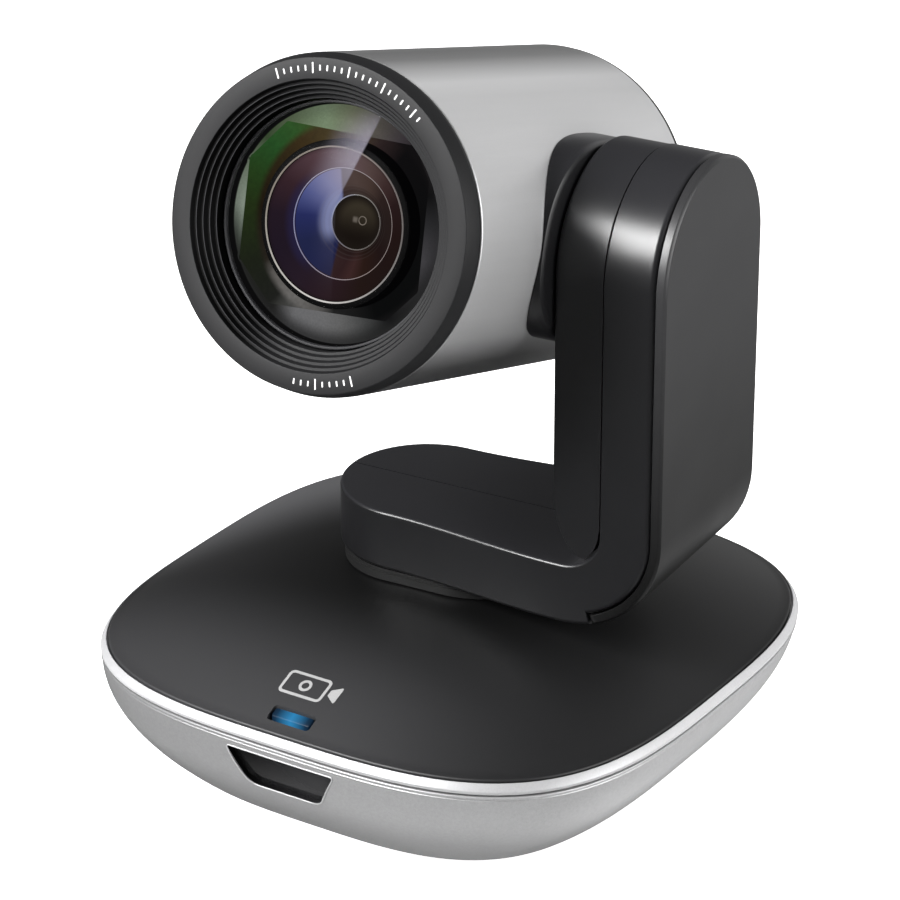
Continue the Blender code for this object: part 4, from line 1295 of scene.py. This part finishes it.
class Polar(Nodes):
    """Materials painted round the optical axis."""

    def __init__(self, name):
        super().__init__(name)
        self.x, _, self.z = self.axes()
        turn = self.math("ARCTAN2", self.x, self.z)
        self.turn = self.math("ADD", self.math("DIVIDE", turn, 2 * math.pi), 0.5)
        square = self.total(self.product(self.x, self.x), self.product(self.z, self.z))
        self.radius = self.math("SQRT", square)

    def around(self, stops):
        """Colours clockwise from the bottom; each stop is an angle from the bottom and a tone."""
        return self.ramp(self.turn, [(angle / 360, tone(*colour)) for angle, colour in stops])

    def band(self, value, *edges):
        """1 between the two inner edges, falling to 0 at the outer ones."""
        low, low_full, high_full, high = edges
        return self.product(self.remap(value, low, low_full), self.remap(value, high, high_full))

    def glow(self, colour, roughness, strength=1.0):
        """A dark surface whose reflected colours are painted on."""
        self.set(Base_Color=(0.0, 0.0, 0.0), Emission_Color=colour, Emission_Strength=strength,
                 Roughness=roughness, Specular_IOR_Level=0.0)
        return self.material


def bezel_finish():
    """Charcoal ring with painted shade: dimmer on its left, with thin painted highlights on the
    ridges in the painted shadow of its throat.
    """
    n = Polar("bezel_charcoal")
    fine = n.noise(PLASTIC_GRAIN, 3.0)
    # painted shade across the face from left to right
    level = n.remap(n.x, -0.032, 0.030, 0.0115, 0.0095)
    step = n.math("DIVIDE", n.math("SUBTRACT", THROAT_R * MM, n.radius), (TREAD + RISER) * MM)
    # painted highlights on the ridges over a near-black painted shadow
    painted_ridge_highlights = n.total(n.product(n.remap(n.math("FRACT", step), 0.80, 0.90), 0.030), 0.001)
    throat = n.product(n.remap(n.radius, 0.0281, 0.0277), n.band(n.turn, 0.0, 0.10, 0.40, 0.56))
    level = n.mix(throat, level, painted_ridge_highlights)
    grained = n.ramp(fine, [(0.3, (0.86, 0.86, 0.92)), (0.7, (1.12, 1.12, 1.20))])
    n.set(Base_Color=n.tint(level, grained), Roughness=0.5,
          Specular_IOR_Level=n.remap(throat, 0.0, 1.0, 0.20, 0.05))
    n.bump(fine, 0.35, FINE_BUMP)
    return n.material


def glass_finish():
    """Coated front window: clear, with a painted pale reflection, a veil that ends at an edge near
    the middle.
    """
    n = Polar("window_glass")
    bend = 0.0042
    rise = n.product(n.math("MAXIMUM", n.math("SUBTRACT", n.z, bend), 0.0), 0.406)
    fall = n.product(n.math("MAXIMUM", n.math("SUBTRACT", bend, n.z), 0.0), 0.10)
    inside = n.math("SUBTRACT", n.total(rise, fall, 0.0002), n.x)
    sharp = n.remap(inside, -0.00015, 0.0002)
    fade = n.remap(inside, 0.0095, 0.0)
    tall = n.product(n.remap(n.z, 0.001, 0.0125), n.remap(n.z, 0.0245, 0.016))
    # painted reflection: the veil and a fainter wash below it, laid on as emission with alpha
    veil = n.product(sharp, fade, tall)
    faint = n.product(sharp, n.remap(inside, 0.006, 0.0), n.remap(n.z, -0.018, 0.004, 0.0, 0.022))
    alpha = n.math("ADD", n.product(veil, 0.26), faint, True)
    n.set(Base_Color=(0.0, 0.0, 0.0), Roughness=0.05, Emission_Color=tone(176, 172, 190),
          Emission_Strength=1.0, Alpha=n.math("ADD", alpha, 0.001, True), Specular_IOR_Level=0.05)
    n.material.surface_render_method = "BLENDED"
    return n.material


def flap_finish():
    """Sloping surround behind the window, with painted light and shade: pale above and below, dark
    at the right.
    """
    n = Polar("window_surround")
    # painted light and shade round the axis, laid on as emission
    inner = n.around([(0, (108, 108, 109)), (20, (108, 108, 110)), (32, (40, 40, 38)),
                      (60, (40, 44, 34)), (90, (146, 158, 144)), (112, (118, 132, 112)),
                      (128, (62, 84, 52)), (146, (96, 112, 84)), (165, (120, 138, 110)),
                      (182, (104, 108, 84)), (196, (86, 82, 76)), (212, (66, 60, 64)),
                      (226, (30, 26, 28)), (245, (14, 14, 14)), (262, (44, 44, 46)),
                      (280, (66, 65, 68)), (300, (52, 52, 53)), (318, (22, 22, 23)),
                      (334, (70, 71, 71)), (348, (98, 98, 98)), (360, (108, 108, 109))])
    dark = n.mix(n.remap(n.radius, 0.0196, 0.0232), (0.0, 0.0, 0.0), tone(36, 36, 36))
    shade = n.remap(n.radius, 0.0192, 0.0228)
    low = n.remap(n.z, 0.006, -0.010)
    colour = n.mix(n.product(shade, n.remap(low, 0.0, 1.0, 0.35, 0.86)), inner, dark)
    colour = n.mix(n.remap(n.noise(2600.0), 0.2, 0.8, 0.0, 0.16), colour, (0.01, 0.01, 0.01))
    colour = n.mix(n.remap(n.radius, 0.02282, 0.02296), colour, (0.003, 0.003, 0.003))
    return n.glow(colour, 0.5)


def well_finish():
    """The dark well round the lens, with painted reflections and shade: green at the upper left,
    grey below, black at the right.
    """
    n = Polar("lens_well")
    # painted reflections and shade by angle
    near = n.around([(0, (34, 34, 34)), (12, (92, 90, 88)), (30, (108, 106, 104)),
                     (48, (96, 93, 90)), (58, (38, 34, 28)), (90, (29, 22, 13)),
                     (120, (44, 36, 20)), (140, (58, 46, 26)), (160, (70, 60, 38)),
                     (182, (66, 56, 44)), (198, (44, 34, 34)), (215, (13, 12, 13)),
                     (270, (9, 10, 10)), (330, (8, 9, 9)), (360, (34, 34, 34))])
    far = n.around([(0, (20, 20, 20)), (30, (70, 70, 68)), (38, (30, 31, 28)),
                    (60, (28, 32, 22)), (90, (34, 47, 20)), (108, (36, 62, 26)),
                    (125, (38, 78, 36)), (140, (48, 84, 40)), (156, (60, 74, 36)),
                    (180, (66, 60, 40)), (205, (16, 14, 15)), (360, (20, 20, 20))])
    colour = n.mix(n.remap(n.radius, 0.0186, 0.0204), near, far)
    colour = n.mix(n.remap(n.noise(1400.0), 0.2, 0.8, 0.0, 0.2), colour, (0.004, 0.004, 0.004))
    return n.glow(colour, 0.5)


def outer_lens_finish():
    """Warm red-brown coating of the first element, its reflections painted on."""
    n = Polar("lens_outer")
    colour = n.around([(0, (40, 26, 31)), (30, (36, 26, 36)), (60, (30, 22, 33)),
                       (90, (33, 23, 33)), (120, (52, 34, 40)), (150, (78, 57, 63)),
                       (172, (96, 76, 80)),
                       (186, (92, 74, 76)), (205, (80, 64, 62)), (225, (58, 42, 41)),
                       (244, (38, 25, 25)), (270, (32, 20, 18)), (300, (30, 20, 18)),
                       (330, (33, 22, 19)), (360, (40, 26, 31))])
    # painted blue reflection in a band of angles near the inner edge
    blue = n.product(n.remap(n.radius, 0.0123, 0.0110), n.band(n.turn, 0.06, 0.14, 0.30, 0.42))
    colour = n.mix(n.product(blue, 0.75), colour, tone(36, 32, 62))
    colour = n.mix(n.remap(n.radius, 0.0138, 0.0151, 0.0, 0.5), colour, (0.008, 0.005, 0.004))
    return n.glow(colour, 0.25)


def inner_lens_finish():
    """Blue coating of the second element with painted reflections, warm beyond a nearly upright
    edge.
    """
    n = Polar("lens_inner")
    cold = n.around([(0, (31, 30, 56)), (30, (31, 35, 70)), (60, (31, 36, 70)), (90, (37, 43, 90)),
                     (118, (74, 82, 134)), (142, (108, 112, 156)), (165, (122, 118, 152)),
                     (188, (110, 100, 122)), (360, (31, 30, 56))])
    core = n.product(n.remap(n.radius, 0.0079, 0.0060), n.band(n.turn, 0.10, 0.20, 0.36, 0.46))
    cold = n.mix(n.product(core, 0.85), cold, tone(124, 131, 170))
    warm = n.around([(0, (46, 29, 30)), (150, (70, 56, 54)), (180, (76, 62, 58)),
                     (205, (66, 52, 47)), (228, (42, 31, 29)), (250, (37, 28, 26)),
                     (280, (35, 26, 24)), (300, (31, 20, 19)), (330, (40, 25, 20)),
                     (346, (58, 37, 36)), (360, (46, 29, 30))])
    warm = n.mix(n.remap(n.radius, 0.0078, 0.0058, 0.0, 0.5), warm, tone(22, 16, 12))
    # painted reflection: cold to the left of a nearly upright edge, warm to its right
    lift = n.math("SUBTRACT", n.z, 0.001)
    edge = n.total(n.product(lift, lift, 18.0), -0.0037)
    colour = n.mix(n.remap(n.math("SUBTRACT", n.x, edge), -0.0003, 0.0003), cold, warm)
    waves = n.remap(n.math("SINE", n.product(n.radius, 9000.0)), 0.2, 1.0, 0.0, 0.10)
    waves = n.product(waves, n.remap(n.radius, 0.0078, 0.0072))
    colour = n.mix(waves, colour, tone(96, 86, 86))
    return n.glow(colour, 0.2)


def pupil_finish():
    """The dark middle of the lens, with a painted olive reflection towards its upper side and a
    painted glint.
    """
    n = Polar("lens_pupil")
    colour = n.mix(n.remap(n.z, -0.0035, 0.0042), tone(22, 17, 13), tone(54, 48, 38))
    colour = n.mix(n.remap(n.radius, 0.0030, 0.0052), colour, tone(26, 21, 17))
    # painted glint: a small bright speck left of the middle
    painted_glint = n.band(n.x, -0.0014, -0.0008, -0.0004, 0.0002)
    painted_glint = n.product(painted_glint, n.band(n.z, -0.0004, 0.0002, 0.0006, 0.0012))
    colour = n.mix(n.product(painted_glint, 0.6), colour, tone(120, 112, 104))
    return n.glow(colour, 0.2)


def ring_finish(name, stops):
    """A bright machined ring, its lit and shaded tones painted on as a glow."""
    n = Polar(name)
    colour = n.around(stops)
    colour = n.mix(n.remap(n.noise(1500.0), 0.3, 0.7, 0.0, 0.12), colour, (0.12, 0.12, 0.12))
    n.set(Base_Color=(0.01, 0.01, 0.01), Roughness=0.4, Emission_Color=colour,
          Emission_Strength=0.92, Specular_IOR_Level=0.0)
    return n.material


AXIS = (0.0, 0.0)
# radius, y, thickness, centre, and the painted light tones round it from the bottom
LENS_RINGS = {
    "lens_ring_1": (14.90, -49.05, 0.16, AXIS, [
        (0, (226, 222, 218)), (40, (200, 196, 190)), (90, (150, 142, 132)), (135, (140, 130, 120)),
        (180, (150, 140, 134)), (225, (112, 104, 102)), (270, (110, 104, 102)),
        (315, (150, 146, 144)), (360, (226, 222, 218))]),
    "lens_ring_2": (10.75, -45.5, 0.11, AXIS, [
        (0, (156, 142, 148)), (50, (140, 138, 166)), (100, (140, 142, 178)), (150, (168, 164, 184)),
        (190, (164, 154, 156)), (235, (150, 138, 134)), (280, (144, 130, 128)),
        (320, (148, 132, 128)), (360, (156, 142, 148))]),
    "lens_ring_3": (5.3, -40.3, 0.11, AXIS, [
        (0, (110, 104, 100)), (60, (116, 114, 132)), (100, (150, 156, 186)), (140, (150, 152, 172)),
        (180, (134, 130, 126)), (250, (104, 98, 95)), (300, (88, 82, 78)), (360, (110, 104, 100))]),
    # not a ring: a painted glint off the axis in the pupil, drawn as a small glowing bead
    "pupil_glint_ring": (0.8, -39.85, 0.1, (1.15, 0.5), [
        (0, (128, 118, 108)), (180, (96, 88, 78)), (360, (128, 118, 108))]),
}


def bead(name, radius, y, thick, at):
    """A round ring about the optical axis."""
    profile = []
    for step in range(12):
        angle = 2 * math.pi * step / 12
        profile.append((radius + thick * math.cos(angle), y + thick * math.sin(angle)))
    return turned(name, profile, at=(at[0], 0.0, at[1]))


def flap_corners():
    corners = ((17.7, 14.6), (11.5, 18.5), (-9.5, 19.3), (-16.3, 13.3), (-17.7, -12.8),
               (-10.2, -20.5), (9.3, -21.0), (17.7, -13.6))
    return fillet([(x, z, 0.6) for x, z in corners], 3)


def opening_reach(angle):
    """Distance from the axis to the surround's opening, in a direction from +Z towards +X."""
    out = Vector((math.cos(angle), math.sin(angle)))
    points = [Vector(point) for point in flap_corners()]
    for index, start in enumerate(points):
        along = points[(index + 1) % len(points)] - start
        cross = out.x * along.y - out.y * along.x
        if abs(cross) < 1e-9:
            continue
        reach = (start.x * along.y - start.y * along.x) / cross
        share = (start.x * out.y - start.y * out.x) / cross
        if reach > 0 and -1e-6 <= share <= 1 + 1e-6:
            return reach
    return 17.1


def build_surround():
    """Four sloping flaps between the round window and the squarish opening."""
    count = 240
    rings = []
    for radius, y in ((23.3, -49.45), (22.9, -47.45), (0.0, -48.1), (0.15, -47.95), (0.15, -47.2),
                      (23.6, -47.2)):
        ring = []
        for step in range(count):
            angle = 2 * math.pi * step / count
            reach = radius if radius > 1.0 else opening_reach(angle) + radius
            ring.append((reach * math.sin(angle), y, reach * math.cos(angle)))
        rings.append(ring)
    surround = mesh_object("window_surround", *skin(rings, closed=True), HEAD, 20)
    install(surround, flap_finish(), "head", "black_plastic", "lens_baffle")
    well = turned("lens_well", fillet([(16.3, -44.6), (22.6, -44.6, 0.3), (22.6, -47.15, 0.1),
                                       (23.4, -47.15, 0.1), (23.4, -44.0, 0.1), (16.3, -44.0)], 3))
    install(well, well_finish(), "head", "black_plastic")


def curve(first, last, bulge, steps=10):
    """Points from first to last along a shallow bow."""
    points = []
    for step in range(steps + 1):
        share = step / steps
        lift = bulge * 4 * share * (1 - share)
        points.append((first[0] + (last[0] - first[0]) * share,
                       first[1] + (last[1] - first[1]) * share - lift))
    return points


def build_optics():
    """The stepped lens bell: two coated elements, their rings, the pupil and a painted glint in it.
    """
    body = fillet([(16.2, -38.0), (16.2, -48.7, 0.3), (15.0, -49.0, 0.1), (14.7, -48.6, 0.1),
                   (14.7, -38.0)], 3)
    install(turned("optic_body", body), finishes["matt_black"], "head", "black_plastic",
            "lens_front_housing")
    outer = curve((14.65, -48.75), (10.95, -45.75), 0.45)
    outer += [(10.6, -45.4), (10.6, -44.9), (11.0, -44.9), (14.65, -47.6)]
    install(turned("optic_outer", outer), outer_lens_finish(), "head", "lens_glass", "front_lens")
    inner = []
    steps = 9
    for step in range(steps):
        radius = 10.55 - 5.0 * step / steps
        depth = -45.2 + 4.75 * (step / steps) ** 0.9
        if step >= 5:
            inner += [(radius, depth), (radius - 0.14, depth + 0.22)]
        else:
            inner.append((radius, depth))
    inner += [(5.45, -40.4), (5.45, -39.4), (10.55, -44.4)]
    install(turned("optic_inner", inner, sharp_deg=50), inner_lens_finish(), "head", "lens_glass")
    pupil = curve((0.0, -39.7), (5.4, -40.1), -0.35) + [(5.4, -39.1), (0.0, -39.1)]
    install(turned("optic_pupil", pupil, count=96), pupil_finish(), "head", "lens_glass")
    for name, (radius, y, thick, at, tones) in LENS_RINGS.items():
        install(bead(name, radius, y, thick, at), ring_finish(name, tones), "head", "bright_trim")
    frame_ring = fillet([(23.9, GLASS_Y + 0.15, 0.1), (23.75, GLASS_Y - 0.1, 0.1),
                         (23.35, GLASS_Y - 0.1, 0.1), (23.2, GLASS_Y + 0.2, 0.1), (23.2, -49.1),
                         (23.9, -49.1)], 3)
    install(turned("window_rim", frame_ring), finishes["bezel_satin"], "head", "bright_trim",
            "window_ring")
    pane = fillet([(0.0, GLASS_Y), (23.15, GLASS_Y, 0.1), (23.15, GLASS_Y + 0.3, 0.1),
                   (0.0, GLASS_Y + 0.3)], 2, closed=False)
    install(turned("window_pane", pane), glass_finish(), "head", "lens_glass", "front_glass")


def build_saddle():
    """The dark saddle on the barrel, with a rounded rim towards the arm."""
    levels = ((20.0, 1.0), (32.0, 1.0), (32.8, 0.995), (33.3, 0.985), (33.6, 0.965), (33.75, 0.94))
    rings = []
    for x, scale in levels:
        ring = []
        for step in range(120):
            angle = 2 * math.pi * (step + 0.5) / 120
            cosine, sine = math.cos(angle), math.sin(angle)
            reach = (abs(cosine / 26.0) ** 2.5 + abs(sine / 20.5) ** 2.5) ** (-1 / 2.5) * scale
            ring.append((x, reach * cosine, reach * sine))
        rings.append(ring)
    saddle = mesh_object("barrel_saddle", *skin(rings), HEAD)
    seat = [(0.0, -60.0), (BARREL_R + 0.15, -60.0), (BARREL_R + 0.15, 60.0), (0.0, 60.0)]
    combine(saddle, turned("seat_tool", seat, HEAD, "Y", 192))
    install(settle(saddle), finishes["black_satin"], "head", "black_satin", "tilt_saddle")


build_bezel()
build_surround()
build_optics()
build_saddle()


# ------------------------------------------------------------------ studio

def build_floor():
    """A white floor: bright to the camera, dimmer as a light on the object."""
    size = 6.0
    mesh = bpy.data.meshes.new("floor")
    corners = [(-size, -size, 0.0), (size, -size, 0.0), (size, size, 0.0), (-size, size, 0.0)]
    mesh.from_pydata(corners, [], [(0, 1, 2, 3)])
    floor = bpy.data.objects.new("floor", mesh)
    bpy.context.scene.collection.objects.link(floor)
    n = Nodes("pale_floor")
    seen = n.add("ShaderNodeLightPath").outputs["Is Camera Ray"]
    n.set(Base_Color=n.ramp(n.noise(3.0), [(0.0, (0.80, 0.80, 0.80)), (1.0, (0.82, 0.82, 0.82))]),
          Roughness=0.9, Emission_Color=(1.0, 1.0, 1.0),
          Emission_Strength=n.remap(seen, 0.0, 1.0, 0.25, 1.0))
    mesh.materials.append(n.material)
    floor.visible_glossy = False


def soft_light(name, way, distance, size, power, target=(0.02, 0.0, 0.10)):
    """A square soft light that faces the object."""
    light = bpy.data.lights.new(name, "AREA")
    light.shape = "RECTANGLE"
    light.size, light.size_y = size
    light.energy = power
    lamp = bpy.data.objects.new(name, light)
    bpy.context.scene.collection.objects.link(lamp)
    lamp.location = Vector(target) + way * distance
    lamp.rotation_euler = way.to_track_quat("Z", "Y").to_euler()
    return lamp


WORLD_BASE = 0.07
WORLD_LOBES = (
    # azimuth and elevation of the middle, angles where it is full and where it ends, strength
    (178.0, 8.0, 16.0, 32.0, 0.64),
    (160.0, -32.0, 12.0, 34.0, 0.34),
    (-143.0, -14.0, 8.0, 26.0, 0.20),
    (0.0, -90.0, 20.0, 62.0, 0.55),
)


def heading(azimuth_deg, elevation_deg):
    """A direction: azimuth 0 is the front, positive towards +X."""
    azimuth, elevation = math.radians(azimuth_deg), math.radians(elevation_deg)
    level = math.cos(elevation)
    return Vector((math.sin(azimuth) * level, -math.cos(azimuth) * level, math.sin(elevation)))


def build_world():
    """White to the camera; elsewhere a dim room with soft bright zones."""
    world = bpy.data.worlds.new("studio")
    bpy.context.scene.world = world
    world.use_nodes = True
    tree = world.node_tree
    shader = tree.nodes["Background"]
    place = tree.nodes.new("ShaderNodeTexCoord")
    total = None
    for azimuth, elevation, full, end, strength in WORLD_LOBES:
        dot = tree.nodes.new("ShaderNodeVectorMath")
        dot.operation = "DOT_PRODUCT"
        dot.inputs[1].default_value = heading(azimuth, elevation)
        tree.links.new(place.outputs["Generated"], dot.inputs[0])
        lobe = tree.nodes.new("ShaderNodeMapRange")
        lobe.interpolation_type = "SMOOTHSTEP"
        start, top = (math.cos(math.radians(angle)) for angle in (end, full))
        for key, value in (("From Min", start), ("From Max", top), ("To Max", strength)):
            lobe.inputs[key].default_value = value
        tree.links.new(dot.outputs["Value"], lobe.inputs["Value"])
        add = tree.nodes.new("ShaderNodeMath")
        add.inputs[1].default_value = WORLD_BASE
        if total is not None:
            tree.links.new(total, add.inputs[1])
        tree.links.new(lobe.outputs["Result"], add.inputs[0])
        total = add.outputs[0]
    seen = tree.nodes.new("ShaderNodeLightPath")
    choose = tree.nodes.new("ShaderNodeMix")
    choose.inputs["B"].default_value = 1.0
    tree.links.new(seen.outputs["Is Camera Ray"], choose.inputs["Factor"])
    tree.links.new(total, choose.inputs["A"])
    tree.links.new(choose.outputs["Result"], shader.inputs["Color"])


AZIMUTH_DEG = 32.8
ELEVATION_DEG = 25.05
DISTANCE = 0.8482
LENS_MM = 164.4
AIM_X = -0.63
AIM_Z = 65.62


def build_camera():
    """A long lens from the front right, looking down."""
    data = bpy.data.cameras.new("camera")
    data.lens = LENS_MM
    data.sensor_width = 36.0
    data.clip_start = 0.01
    camera = bpy.data.objects.new("camera", data)
    bpy.context.scene.collection.objects.link(camera)
    towards = heading(AZIMUTH_DEG, ELEVATION_DEG)
    aim = ARM @ (Vector((AIM_X, 0.0, AIM_Z)) * MM)
    camera.location = aim + towards * DISTANCE
    camera.rotation_euler = towards.to_track_quat("Z", "Y").to_euler()
    bpy.context.scene.camera = camera


build_floor()
build_world()
soft_light("top_light", heading(170.0, 80.0), 0.9, (0.8, 0.8), 5.0).visible_glossy = False
soft_light("key_light", heading(-25.0, 31.0), 0.85, (0.30, 0.34), 14.5)
soft_light("right_light", heading(95.0, 12.0), 1.0, (0.9, 0.7), 10.8)
build_camera()
bpy.context.scene.view_settings.view_transform = "Standard"
